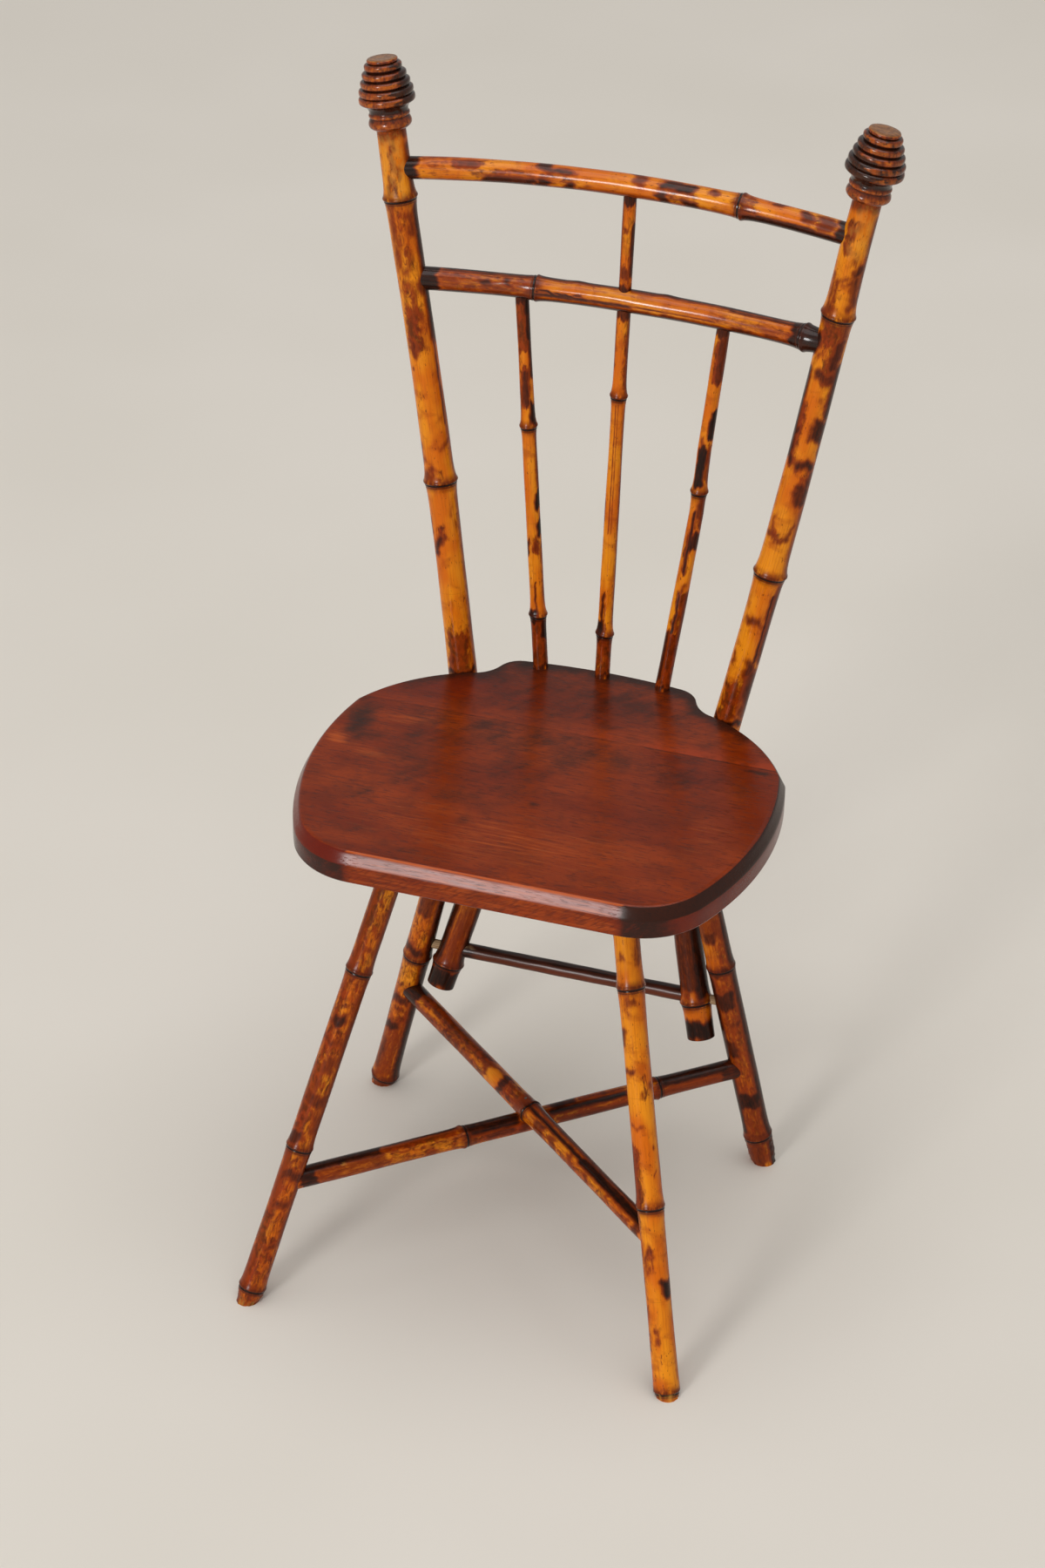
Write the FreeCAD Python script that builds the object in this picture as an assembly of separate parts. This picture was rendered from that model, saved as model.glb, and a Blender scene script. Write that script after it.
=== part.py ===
import FreeCAD, Part
import math
import os

# Bamboo side chair, in millimetres.
# The floor is z = 0, the sitter looks along -Y, and left and right are as seen from the front.
# While it is drawn, y = 0 is the front edge of the seat. The last step centres the chair.

V = FreeCAD.Vector
LEFT = -1
RIGHT = 1
SIDES = {"left": LEFT, "right": RIGHT}
UP = V(0, 0, 1)
ACROSS = V(1, 0, 0)

# Fits
fit = 0.2
overrun = 40.0

# Seat
seat_height = 430.0
seat_width = 392.0
seat_depth = 329.0
seat_thickness = 27.0
seat_front_flat = 226.0
seat_chamfer_drop = 13.0
seat_chamfer_run = 5.5
seat_seam_setback = 227.0
# Each arc of one side of the outline: a point on it, then its end, in half widths and depths,
# each with the share of the chamfer that the edge has there. The chamfer dies out at the posts.
seat_side_shares = (
    ((0.765, 0.038, 1), (0.872, 0.117, 1)),
    ((0.998, 0.426, 1), (0.952, 0.681, 1)),
    ((0.758, 0.816, 0.5), (0.510, 0.893, 0)),
    ((0.467, 0.914, 0), (0.441, 0.941, 0)),
    ((0.413, 0.968, 0), (0.357, 0.985, 0)),
)

# Swollen rings on every culm, as shares of the culm's diameter
node_swell_share = 0.06
node_reach_share = 0.45
node_ridge_share = 0.09
node_sink_share = 0.02
spindle_swell_share = 0.14
septum = 5.0

# Legs
front_leg_diameter = 20.8
rear_leg_diameter = 22.8
leg_bore = 13.0
# How far each foot stands out sideways from the leg's top, and forwards or backwards
front_leg_splay = 91.9
front_leg_reach = 136.6
rear_leg_splay = 90.8
rear_leg_reach = 10.8
# Leg tops under the seat, in half widths and depths of the seat
leg_top_shares = {"front": (0.465, 0.242), "rear": (0.440, 0.771)}
# Rings on each leg, in leg lengths up from the foot
leg_node_shares = {
    "front_left": (0.032, 0.335, 0.717),
    "front_right": (0.009, 0.370, 0.792),
    "rear_left": (0.022, 0.375, 0.721),
    "rear_right": (0.073, 0.506),
}
leg_plug_length = 42.0
leg_socket_depth = 17.0

# Stretchers, crossing under the seat
stretcher_diameter = 18.0
low_stretcher_front_height = 106.0
low_stretcher_rear_height = 99.5
high_stretcher_slope = 11.5
stretcher_let_in = 2.5
settle_passes = 5
low_stretcher_node_shares = (0.377, 0.810)
high_stretcher_node_shares = (0.480,)
peg_diameter = 7.0
peg_reach = 22.0
pin_diameter = 2.4

# Back posts: one bent culm a side, passing behind the seat and down inside the rear leg
post_diameter = 24.0
post_bore = 15.2
post_rise = 456.5
post_splay = 80.4
post_rake = 48.8
post_seat_shares = (0.587, 0.9085)
# Where the bend lies between the tie and the seat
post_bend_share = 0.363
post_bend_radius = 250.0
post_tail = 37.0
post_leg_gap = 6.4
# Rings on each post, between its lower end and its top
post_node_shares = {"left": (0.029, 0.282, 0.612, 0.927), "right": (0.037, 0.262, 0.568, 0.874)}

# Rod that ties the two posts to the rear legs
tie_height = 165.0
tie_diameter = 13.2
tie_tenon = 8.4
tie_leg_depth = 8.0

# Screws that hold the posts to the edge of the seat, aimed at the seat's middle line
screw_length = 44.0
screw_shank = 4.0
screw_head = 8.0
screw_head_height = 3.0
screw_tip_share = 0.3
screw_aim_share = 0.2

# Rails of the back, bowed backwards, with their rings in half lengths from the middle
crest_diameter = 18.5
crest_drop = 29.0
crest_bow = 19.5
crest_rise = 5.5
crest_node_shares = (0.472,)
mid_diameter = 19.0
mid_drop = 119.5
mid_bow = 20.5
mid_rise = -1.0
mid_node_shares = (-0.434, 0.857)
dowel_diameter = 8.0
dowel_reach = 26.0

# Spindles, with their rings in lengths up from the seat
spindle_foot_diameter = 12.6
spindle_top_diameter = 10.8
upper_spindle_diameter = 10.6
spindle_tenon = 7.5
spindle_seat_depth = 18.0
spindle_edge_inset = 6.5
spindle_foot_spread = 107.0
spindle_top_spread = 171.0
spindle_node_shares = {"left": (0.140, 0.639), "centre": (0.114, 0.748), "right": (0.542,)}

# Turned finials: collar roll, bead, neck, five stacked rings and a button, measured up the post's axis
finial_height = 61.8
finial_spigot = 18.0
finial_roll_radius = 17.0
finial_roll_height = 12.0
finial_bead_radius = 16.6
finial_bead_height = 4.0
finial_neck_radius = 15.6
finial_neck_height = 7.4
finial_radius = 23.4
finial_ring_shares = (1, 0.967, 0.882, 0.788, 0.668)
finial_ring_height = 7.2
finial_groove = 2.0
finial_button_radius = 12.8
finial_button_edge = 1.2


def unit(vector):
    """The direction of a vector."""
    return V(vector).normalize()


def turned(profile, start, direction):
    """A solid turned about a line, from points of distance along it and radius."""
    points = [V(0, 0, profile[0][0])]
    points += [V(radius, 0, distance) for distance, radius in profile]
    points.append(V(0, 0, profile[-1][0]))
    points.append(points[0])
    solid = Part.Face(Part.makePolygon(points)).revolve(V(0, 0, 0), UP, 360)
    solid.Placement = FreeCAD.Placement(start, FreeCAD.Rotation(UP, direction))
    return solid


def rod(start, end, diameter):
    """A plain round rod between two points."""
    return Part.makeCylinder(diameter / 2, (end - start).Length, start, unit(end - start))


def pipe(edges, diameter):
    """A round rod along a chain of lines and arcs."""
    first = edges[0]
    circle = Part.makeCircle(diameter / 2, first.valueAt(first.FirstParameter), first.tangentAt(first.FirstParameter))
    return Part.Wire(edges).makePipeShell([Part.Wire(circle)], True, False)


def node_profile(place, radius, swell_share, sink):
    """Points of one swollen ring on a culm."""
    diameter = 2 * radius
    reach = diameter * node_reach_share
    ridge = diameter * node_ridge_share
    crown = radius + diameter * swell_share
    return [
        (place - reach, radius - sink),
        (place - ridge, crown),
        (place + ridge, crown),
        (place + reach, radius - sink),
    ]


def culm(start, end, foot_diameter, top_diameter, node_shares, swell_share):
    """A straight culm that tapers between two points and swells at its nodes."""
    length = (end - start).Length
    profile = [(-overrun, foot_diameter / 2)]
    for share in node_shares:
        radius = (foot_diameter + (top_diameter - foot_diameter) * share) / 2
        profile += node_profile(length * share, radius, swell_share, 0)
    profile.append((length + overrun, top_diameter / 2))
    return turned(profile, start, unit(end - start))


def swelling(centre, direction, diameter, swell_share):
    """The swollen ring of a bent culm."""
    radius = diameter / 2
    return turned(node_profile(0, radius, swell_share, diameter * node_sink_share), centre, direction)


def halfspace(bottom, top):
    """A block wider than the chair, between two heights."""
    size = seat_width + seat_depth + post_top_height
    return Part.makeBox(2 * size, 2 * size, top - bottom, V(-size, -size, bottom))


def opposite(point):
    """The same point on the other side of the chair."""
    return V(-point.x, point.y, point.z)


# Sizes and places that several pieces share

seat_underside = seat_height - seat_thickness
post_top_height = seat_height + post_rise
leg_diameters = {"front": front_leg_diameter, "rear": rear_leg_diameter}
finial_ring_radii = [finial_radius * share for share in finial_ring_shares]


def seat_point(shares, side, height):
    """A point given in half widths and depths of the seat."""
    return V(side * seat_width / 2 * shares[0], seat_depth * shares[1], height)


def leg_ends(row, side):
    """Foot and top of a leg's axis, at the floor and at the seat's underside."""
    top = seat_point(leg_top_shares[row], side, seat_underside)
    if row == "front":
        out = V(side * front_leg_splay, -front_leg_reach, 0)
    else:
        out = V(side * rear_leg_splay, rear_leg_reach, 0)
    return V(top.x, top.y, 0) + out, top


def leg_at(row, side, height):
    """The point of a leg's axis at a height."""
    foot, top = leg_ends(row, side)
    return foot + (top - foot) * (height / top.z)


def post_line(side):
    """The straight lines and the bend of a post's axis."""
    seat = seat_point(post_seat_shares, side, seat_height - seat_thickness / 2)
    top = seat + V(side * post_splay, post_rake, post_top_height - seat.z)
    upper = unit(top - seat)
    pitch = (leg_diameters["rear"] + post_diameter) / 2 + post_leg_gap
    tie = leg_at("rear", side, tie_height) - V(side * pitch, 0, 0)
    bend = seat - upper * ((seat.z - tie.z) * (1 - post_bend_share) / upper.z)
    lower = unit(bend - tie)
    turn = upper.getAngle(lower)
    tangent = post_bend_radius * math.tan(turn / 2)
    return {
        "seat": seat,
        "top": top,
        "upper": upper,
        "lower": lower,
        "inward": unit(upper - lower * upper.dot(lower)),
        "arc_low": bend - lower * tangent,
        "arc_high": bend + upper * tangent,
        "end": tie - lower * post_tail,
    }


def post_at(side, height):
    """The point of a post's axis at a height, and the direction there."""
    line = post_line(side)
    if height >= line["arc_high"].z:
        return line["top"] + line["upper"] * ((height - line["top"].z) / line["upper"].z), line["upper"]
    low = line["arc_low"]
    along = line["lower"]
    if height <= low.z:
        return low + along * ((height - low.z) / along.z), along
    inward = line["inward"]
    rise = (height - low.z) / post_bend_radius - inward.z
    turned_by = math.atan2(inward.z, along.z) + math.asin(rise / math.hypot(along.z, inward.z))
    ahead = math.sin(turned_by)
    aside = math.cos(turned_by)
    return low + (along * ahead + inward * (1 - aside)) * post_bend_radius, along * aside + inward * ahead


def post_path(side, low, high):
    """The lines and the arc of a post's axis between two heights."""
    line = post_line(side)
    bend = [line["arc_low"].z, line["arc_high"].z]
    heights = [low] + [height for height in bend if low < height < high] + [high]
    edges = []
    for start, finish in zip(heights, heights[1:]):
        middle = (start + finish) / 2
        ends = [post_at(side, height)[0] for height in (start, middle, finish)]
        if bend[0] < middle < bend[1]:
            edges.append(Part.Arc(*ends).toShape())
        else:
            edges.append(Part.makeLine(ends[0], ends[2]))
    return edges


def rail_arc(height, bow, rise):
    """The bowed axis of a rail, from post to post."""
    left = post_at(LEFT, height)[0]
    right = post_at(RIGHT, height)[0]
    return Part.Arc(left, V(0, right.y + bow, height + rise), right).toShape()


crest_arc = rail_arc(post_top_height - crest_drop, crest_bow, crest_rise)
mid_arc = rail_arc(post_top_height - mid_drop, mid_bow, mid_rise)


def rail_at(arc, place):
    """The point of a rail's axis at a distance from the chair's middle, and the direction there."""
    circle = arc.Curve
    end = arc.valueAt(arc.FirstParameter)
    outward = unit(V(0, end.y, end.z) - circle.Center)
    reach = math.sqrt(circle.Radius ** 2 - place ** 2)
    return circle.Center + ACROSS * place + outward * reach, unit(ACROSS - outward * (place / reach))


# Seat boards

def seat_side(height):
    """The right side of the full outline, as arcs from the front corner to the tail."""
    start = V(seat_front_flat / 2, 0, height)
    arcs = []
    for middle_shares, end_shares in seat_side_shares:
        middle = seat_point(middle_shares, RIGHT, height)
        end = seat_point(end_shares, RIGHT, height)
        arcs.append(Part.Arc(start, middle, end).toShape())
        start = end
    return arcs


def inward(edge, parameter):
    """The direction into the seat from a point of its outline."""
    return UP.cross(edge.tangentAt(parameter))


def moved_in(point, before, after, run):
    """A point of the outline moved in by a run from the two edges that meet there."""
    return point + (before + after) * (run / (1 + before.dot(after)))


def seat_outline(height, run):
    """The outline of the seat, moved in by a run where its edge is chamfered."""
    arcs = seat_side(height)
    shares = [1] + [end_shares[2] for _, end_shares in seat_side_shares]
    befores = [V(0, 1, 0)] + [inward(arc, arc.LastParameter) for arc in arcs]
    afters = [inward(arc, arc.FirstParameter) for arc in arcs] + [befores[-1]]
    points = [arc.valueAt(arc.FirstParameter) for arc in arcs] + [arcs[-1].valueAt(arcs[-1].LastParameter)]
    corners = [moved_in(*place, run * share) for *place, share in zip(points, befores, afters, shares)]
    right = []
    left = []
    for arc, (middle_shares, _), start, end in zip(arcs, seat_side_shares, corners, corners[1:]):
        halfway = (arc.FirstParameter + arc.LastParameter) / 2
        middle = arc.valueAt(halfway) + inward(arc, halfway) * (run * middle_shares[2])
        right.append(Part.Arc(start, middle, end).toShape())
        left.insert(0, Part.Arc(opposite(end), opposite(middle), opposite(start)).toShape())
    front = Part.makeLine(opposite(corners[0]), corners[0])
    tail = Part.Arc(corners[-1], V(0, seat_depth, height), opposite(corners[-1])).toShape()
    return Part.Wire([front] + right + [tail] + left)


def seat_blank():
    """The whole seat, chamfered round the front and sides as far as the posts."""
    chamfer_foot = seat_outline(seat_height - seat_chamfer_drop, 0)
    top = seat_outline(seat_height, seat_chamfer_run)
    return Part.makeLoft([seat_outline(seat_underside, 0), chamfer_foot, top], True, True)


def seat_boards(tools):
    """The two glued boards of the seat, with every socket cut."""
    whole = seat_blank().cut(tools)
    size = seat_width + seat_depth
    front = Part.makeBox(2 * size, size + seat_seam_setback, size, V(-size, -size, seat_height - size / 2))
    return {"seat_front_board": whole.common(front), "seat_rear_board": whole.cut(front)}


# Legs and stretchers

def leg_name(row, side_name):
    return row + "_" + side_name


def leg_outer(row, side_name, grow):
    """The outside of a leg, running past both ends."""
    foot, top = leg_ends(row, SIDES[side_name])
    diameter = leg_diameters[row] + grow
    return culm(foot, top, diameter, diameter, leg_node_shares[leg_name(row, side_name)], node_swell_share)


def leg_chambers(row, side_name):
    """The hollows of a leg between its nodes."""
    foot, top = leg_ends(row, SIDES[side_name])
    along = unit(top - foot)
    length = (top - foot).Length
    nodes = [length * share for share in leg_node_shares[leg_name(row, side_name)]]
    starts = [-overrun] + [place + septum / 2 for place in nodes]
    stops = [place - septum / 2 for place in nodes] + [length + overrun]
    return [rod(foot + along * low, foot + along * high, leg_bore) for low, high in zip(starts, stops)]


def leg_plug(row, side_name, grow):
    """The hardwood plug that joins a leg to the seat."""
    foot, top = leg_ends(row, SIDES[side_name])
    along = unit(top - foot)
    start = top - along * leg_plug_length
    return rod(start, top + along * (leg_socket_depth + grow / 2), leg_bore - 2 * fit + grow)


def leg(row, side_name, tools):
    """A hollow leg, cut level at the floor and under the seat."""
    body = leg_outer(row, side_name, 0).common(halfspace(0, seat_underside))
    return body.cut(leg_chambers(row, side_name) + tools)


def low_stretcher_ends():
    """The axis of the lower stretcher, front left to rear right."""
    front = leg_at("front", LEFT, low_stretcher_front_height)
    return front, leg_at("rear", RIGHT, low_stretcher_rear_height)


def crossing(first, second):
    """Where two lines cross in plan, as a share of each."""
    one = first[1] - first[0]
    two = second[1] - second[0]
    gap = second[0] - first[0]
    area = one.x * two.y - one.y * two.x
    return (gap.x * two.y - gap.y * two.x) / area, (gap.x * one.y - gap.y * one.x) / area


def high_stretcher_ends():
    """The axis of the upper stretcher, front right to rear left, lying on the lower one."""
    low = low_stretcher_ends()
    height = low_stretcher_front_height
    for _ in range(settle_passes):
        front = leg_at("front", RIGHT, height + high_stretcher_slope / 2)
        rear = leg_at("rear", LEFT, height - high_stretcher_slope / 2)
        on_low, on_high = crossing(low, (front, rear))
        rise = (front + (rear - front) * on_high).z - (low[0] + (low[1] - low[0]) * on_low).z
        height += stretcher_diameter - stretcher_let_in - rise
    return front, rear


def stretcher_outer(ends, node_shares, grow):
    """The outside of a stretcher, running past the axes of its legs."""
    diameter = stretcher_diameter + grow
    return culm(*ends, diameter, diameter, node_shares, node_swell_share)


def end_peg(axis_point, inward, carrier_diameter, diameter, reach, grow):
    """A peg from the axis of a leg or post into the end of the piece that it holds."""
    start = axis_point - inward * (grow / 2)
    return rod(start, axis_point + inward * (carrier_diameter / 2 + reach + grow / 2), diameter + grow)


def crossing_pin(grow, past):
    """The pin through both stretchers where they cross."""
    low = low_stretcher_ends()
    high = high_stretcher_ends()
    on_low, on_high = crossing(low, high)
    bottom = low[0] + (low[1] - low[0]) * on_low - UP * (stretcher_diameter / 4 + grow / 2)
    crown = high[0] + (high[1] - high[0]) * on_high + UP * (stretcher_diameter / 2 + past)
    return rod(bottom, crown, pin_diameter + grow)


# Back posts, tie, screws and finials

def post_nodes(side_name):
    """The heights of a post's rings."""
    foot = post_line(SIDES[side_name])["end"].z
    return [foot + (post_top_height - foot) * share for share in post_node_shares[side_name]]


def post_outer(side_name, grow):
    """The outside of a post, from its cut lower end to the finial."""
    side = SIDES[side_name]
    line = post_line(side)
    diameter = post_diameter + grow
    body = pipe(post_path(side, line["end"].z, post_top_height), diameter)
    rings = [swelling(*post_at(side, height), diameter, node_swell_share) for height in post_nodes(side_name)]
    return body.fuse(rings)


def post_chambers(side_name):
    """The hollows of a post between its nodes."""
    side = SIDES[side_name]
    rise = septum / 2
    heights = post_nodes(side_name)
    starts = [post_line(side)["end"].z - overrun] + [height + rise for height in heights]
    stops = [height - rise for height in heights] + [post_top_height + overrun]
    return [pipe(post_path(side, low, high), post_bore) for low, high in zip(starts, stops)]


def tie_ends():
    """The ends of the tie, inside the walls of the rear legs."""
    right = leg_at("rear", RIGHT, tie_height) - ACROSS * (leg_diameters["rear"] / 2 - tie_leg_depth)
    return opposite(right), right


def tie_tenons(grow):
    """The thin rod of the tie, from leg to leg."""
    left, right = tie_ends()
    return rod(left - ACROSS * grow, right + ACROSS * grow, tie_tenon + grow)


def post_tie(posts):
    """The tie: thick between the posts, and thin through them into the legs."""
    left, right = tie_ends()
    body = rod(V(post_at(LEFT, tie_height)[0].x, left.y, left.z),
               V(post_at(RIGHT, tie_height)[0].x, right.y, right.z), tie_diameter)
    return body.cut(posts).fuse(tie_tenons(0)).removeSplitter()


def post_screw(side_name, grow, past):
    """The wood screw through a post into the edge of the seat, its head flush with the post's back."""
    seat = post_line(SIDES[side_name])["seat"]
    inward = unit(V(0, seat_depth * screw_aim_share, seat.z) - seat)
    head = (screw_head + grow) / 2
    shank = (screw_shank + grow) / 2
    taper = screw_length - screw_head_height
    profile = [(-past, head), (0, head), (screw_head_height, shank), (taper, shank)]
    profile.append((screw_length + grow / 2, shank * screw_tip_share))
    if not past:
        profile = profile[1:]
    return turned(profile, seat - inward * (post_diameter / 2), inward)


def bead(low, high, radius, groove):
    """The half-round edge of one turned ring, between two heights."""
    crown = V(radius, 0, (low + high) / 2)
    return Part.Arc(V(groove, 0, low), crown, V(groove, 0, high)).toShape()


def finial(side_name):
    """A turned finial with its spigot, standing on top of a post."""
    spigot = post_bore / 2 - fit
    roll_foot = post_diameter / 2
    groove = finial_bead_radius - finial_groove / 2
    level = finial_roll_height
    edges = [
        Part.makeLine(V(0, 0, -finial_spigot), V(spigot, 0, -finial_spigot)),
        Part.makeLine(V(spigot, 0, -finial_spigot), V(spigot, 0, 0)),
        Part.makeLine(V(spigot, 0, 0), V(roll_foot, 0, 0)),
        Part.Arc(V(roll_foot, 0, 0), V(finial_roll_radius, 0, level / 2), V(groove, 0, level)).toShape(),
        bead(level, level + finial_bead_height, finial_bead_radius, groove),
    ]
    level += finial_bead_height
    flare = finial_ring_radii[0] - finial_groove
    neck = V(finial_neck_radius, 0, level + finial_neck_height / 2)
    edges.append(Part.Arc(V(groove, 0, level), neck, V(flare, 0, level + finial_neck_height)).toShape())
    level += finial_neck_height
    inner = flare
    for radius, above in zip(finial_ring_radii, finial_ring_radii[1:] + [finial_button_radius]):
        top = V(above - finial_groove, 0, level + finial_ring_height)
        crown = V(radius, 0, level + finial_ring_height / 2)
        edges.append(Part.Arc(V(inner, 0, level), crown, top).toShape())
        inner = top.x
        level = top.z
    rim = finial_height - finial_button_edge
    edges += [
        Part.makeLine(V(inner, 0, level), V(finial_button_radius, 0, level)),
        Part.makeLine(V(finial_button_radius, 0, level), V(finial_button_radius, 0, rim)),
        Part.makeLine(V(finial_button_radius, 0, rim), V(finial_button_radius - finial_button_edge, 0, finial_height)),
        Part.makeLine(V(finial_button_radius - finial_button_edge, 0, finial_height), V(0, 0, finial_height)),
        Part.makeLine(V(0, 0, finial_height), V(0, 0, -finial_spigot)),
    ]
    solid = Part.Face(Part.Wire(edges)).revolve(V(0, 0, 0), UP, 360)
    line = post_line(SIDES[side_name])
    solid.Placement = FreeCAD.Placement(line["top"], FreeCAD.Rotation(UP, line["upper"]))
    return solid


# Rails and spindles of the back

def rail_reach(arc):
    """The distance from the chair's middle to a post's axis, along a rail."""
    return arc.valueAt(arc.LastParameter).x


def rail_outer(arc, diameter, node_shares, grow):
    """The outside of a bowed rail, from post axis to post axis."""
    places = [rail_at(arc, rail_reach(arc) * share) for share in node_shares]
    rings = [swelling(*place, diameter + grow, node_swell_share) for place in places]
    return pipe([arc], diameter + grow).fuse(rings)


def rail_dowel(arc, side, grow):
    """The dowel between a post and the end of a rail."""
    place, along = rail_at(arc, side * rail_reach(arc))
    return end_peg(place, along * -side, post_diameter, dowel_diameter, dowel_reach, grow)


def tail_at(place):
    """How far back the tail's edge lies at a distance from the chair's middle."""
    half = seat_width / 2 * seat_side_shares[-1][1][0]
    sweep = seat_depth - seat_depth * seat_side_shares[-1][1][1]
    return seat_depth - sweep * (place / half) ** 2


def spindle_ends(name):
    """The axis of a spindle, from the seat's top or the mid rail to the rail above."""
    if name == "upper":
        return rail_at(mid_arc, 0)[0], rail_at(crest_arc, 0)[0]
    side = SIDES.get(name, 0)
    foot = side * spindle_foot_spread / 2
    return V(foot, tail_at(foot) - spindle_edge_inset, seat_height), rail_at(mid_arc, side * spindle_top_spread / 2)[0]


def spindle_tenons(name, grow):
    """The thin ends of a spindle, in the seat and in the rail."""
    foot, top = spindle_ends(name)
    along = unit(top - foot)
    if name == "upper":
        low = foot + along * (mid_diameter / 4 - grow / 2)
        high = top - along * (crest_diameter / 4 - grow / 2)
    else:
        low = foot - along * (spindle_seat_depth + grow / 2)
        high = top - along * (mid_diameter / 4 - grow / 2)
    return rod(low, high, spindle_tenon + grow)


def spindle(name, tools):
    """A spindle with its shoulders cut to the seat and rails, and a tenon at each end."""
    foot, top = spindle_ends(name)
    if name == "upper":
        body = rod(foot, top, upper_spindle_diameter)
    else:
        rings = spindle_node_shares[name]
        body = culm(foot, top, spindle_foot_diameter, spindle_top_diameter, rings, spindle_swell_share)
        body = body.common(halfspace(seat_height, top.z))
    body = body.cut(tools)
    middle = (foot + top) / 2
    shoulders = [solid for solid in body.Solids if solid.BoundBox.isInside(middle)]
    return shoulders[0].fuse(spindle_tenons(name, 0)).removeSplitter()


def build():
    """Every piece of the chair, by name."""
    pieces = {}
    legs = [(row, side_name) for row in ("front", "rear") for side_name in SIDES]
    low = low_stretcher_ends()
    high = high_stretcher_ends()
    low_along = unit(low[1] - low[0])
    high_along = unit(high[1] - high[0])
    peg_places = {
        ("front", "left"): (low[0], low_along),
        ("rear", "right"): (low[1], low_along * -1),
        ("front", "right"): (high[0], high_along),
        ("rear", "left"): (high[1], high_along * -1),
    }

    def peg(place, grow):
        return end_peg(*peg_places[place], leg_diameters[place[0]], peg_diameter, peg_reach, grow)

    # Legs, plugs, stretchers and their pegs
    grown_legs = [leg_outer(*place, 2 * fit) for place in legs]
    grown_pegs = [peg(place, 2 * fit) for place in legs]
    tie_hole = tie_tenons(2 * fit)
    for place in legs:
        name = leg_name(*place)
        tools = [peg(place, 2 * fit)] + ([tie_hole] if place[0] == "rear" else [])
        pieces[name + "_leg"] = leg(*place, tools)
        pieces[name + "_leg_plug"] = leg_plug(*place, 0)
        pieces[name + "_stretcher_peg"] = peg(place, 0)
    low_outer = stretcher_outer(low, low_stretcher_node_shares, 0)
    high_outer = stretcher_outer(high, high_stretcher_node_shares, 0)
    high_grown = stretcher_outer(high, high_stretcher_node_shares, 2 * fit)
    pin_hole = crossing_pin(2 * fit, overrun)
    pieces["low_stretcher"] = between(low_outer.cut(grown_legs + grown_pegs + [high_grown, pin_hole]))
    pieces["high_stretcher"] = between(high_outer.cut(grown_legs + grown_pegs + [pin_hole]))
    pieces["crossing_pin"] = crossing_pin(0, 0)

    # Posts, tie, screws and finials
    grown_posts = [post_outer(side_name, 2 * fit) for side_name in SIDES]
    arcs = (crest_arc, mid_arc)
    grown_dowels = [rail_dowel(arc, side, 2 * fit) for arc in arcs for side in SIDES.values()]
    for side_name, side in SIDES.items():
        tools = post_chambers(side_name) + [rail_dowel(arc, side, 2 * fit) for arc in arcs]
        tools += [tie_hole, post_screw(side_name, 2 * fit, overrun)]
        pieces[side_name + "_post"] = post_outer(side_name, 0).cut(tools)
        pieces[side_name + "_finial"] = finial(side_name)
        pieces[side_name + "_crest_dowel"] = rail_dowel(crest_arc, side, 0)
        pieces[side_name + "_mid_dowel"] = rail_dowel(mid_arc, side, 0)
    pieces["post_tie"] = post_tie(grown_posts)
    pieces["post_screws"] = Part.makeCompound([post_screw(side_name, 0, 0) for side_name in SIDES])

    # Rails and spindles
    spindles = ("left", "centre", "right", "upper")
    holes = [spindle_tenons(name, 2 * fit) for name in spindles]
    crest_grown = rail_outer(crest_arc, crest_diameter, crest_node_shares, 2 * fit)
    mid_grown = rail_outer(mid_arc, mid_diameter, mid_node_shares, 2 * fit)
    rail_tools = grown_posts + grown_dowels + holes
    pieces["crest_rail"] = rail_outer(crest_arc, crest_diameter, crest_node_shares, 0).cut(rail_tools)
    pieces["mid_rail"] = rail_outer(mid_arc, mid_diameter, mid_node_shares, 0).cut(rail_tools)
    for name in spindles:
        pieces[name + "_spindle"] = spindle(name, [crest_grown, mid_grown])

    # Seat, with the post hollows and all its sockets
    tools = grown_posts + holes + [leg_plug(*place, 2 * fit) for place in legs]
    tools += [post_screw(side_name, 2 * fit, overrun) for side_name in SIDES]
    pieces.update(seat_boards(tools))
    return pieces


def between(shape):
    """The middle solid of a rod whose ends have been cut off."""
    return max(shape.Solids, key=lambda solid: solid.Volume)


def centred(pieces):
    """The pieces moved so that the chair's box stands on the origin."""
    box = Part.makeCompound(list(pieces.values())).optimalBoundingBox(False)
    shift = V(-box.Center.x, -box.Center.y, -box.ZMin)
    for shape in pieces.values():
        shape.translate(shift)
    print("size", box.XLength, box.YLength, box.ZLength, "shift", shift)
    return pieces


def main():
    os.makedirs("parts", exist_ok=True)
    for name, shape in centred(build()).items():
        print(name, len(shape.Solids), shape.isValid(), round(shape.Volume))
        shape.exportStep("parts/" + name + ".step")


main()
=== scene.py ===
"""Looks of the bamboo side chair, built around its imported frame."""
import math
import random

import bmesh
import bpy
import numpy as np
from mathutils import Matrix, Vector


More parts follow.
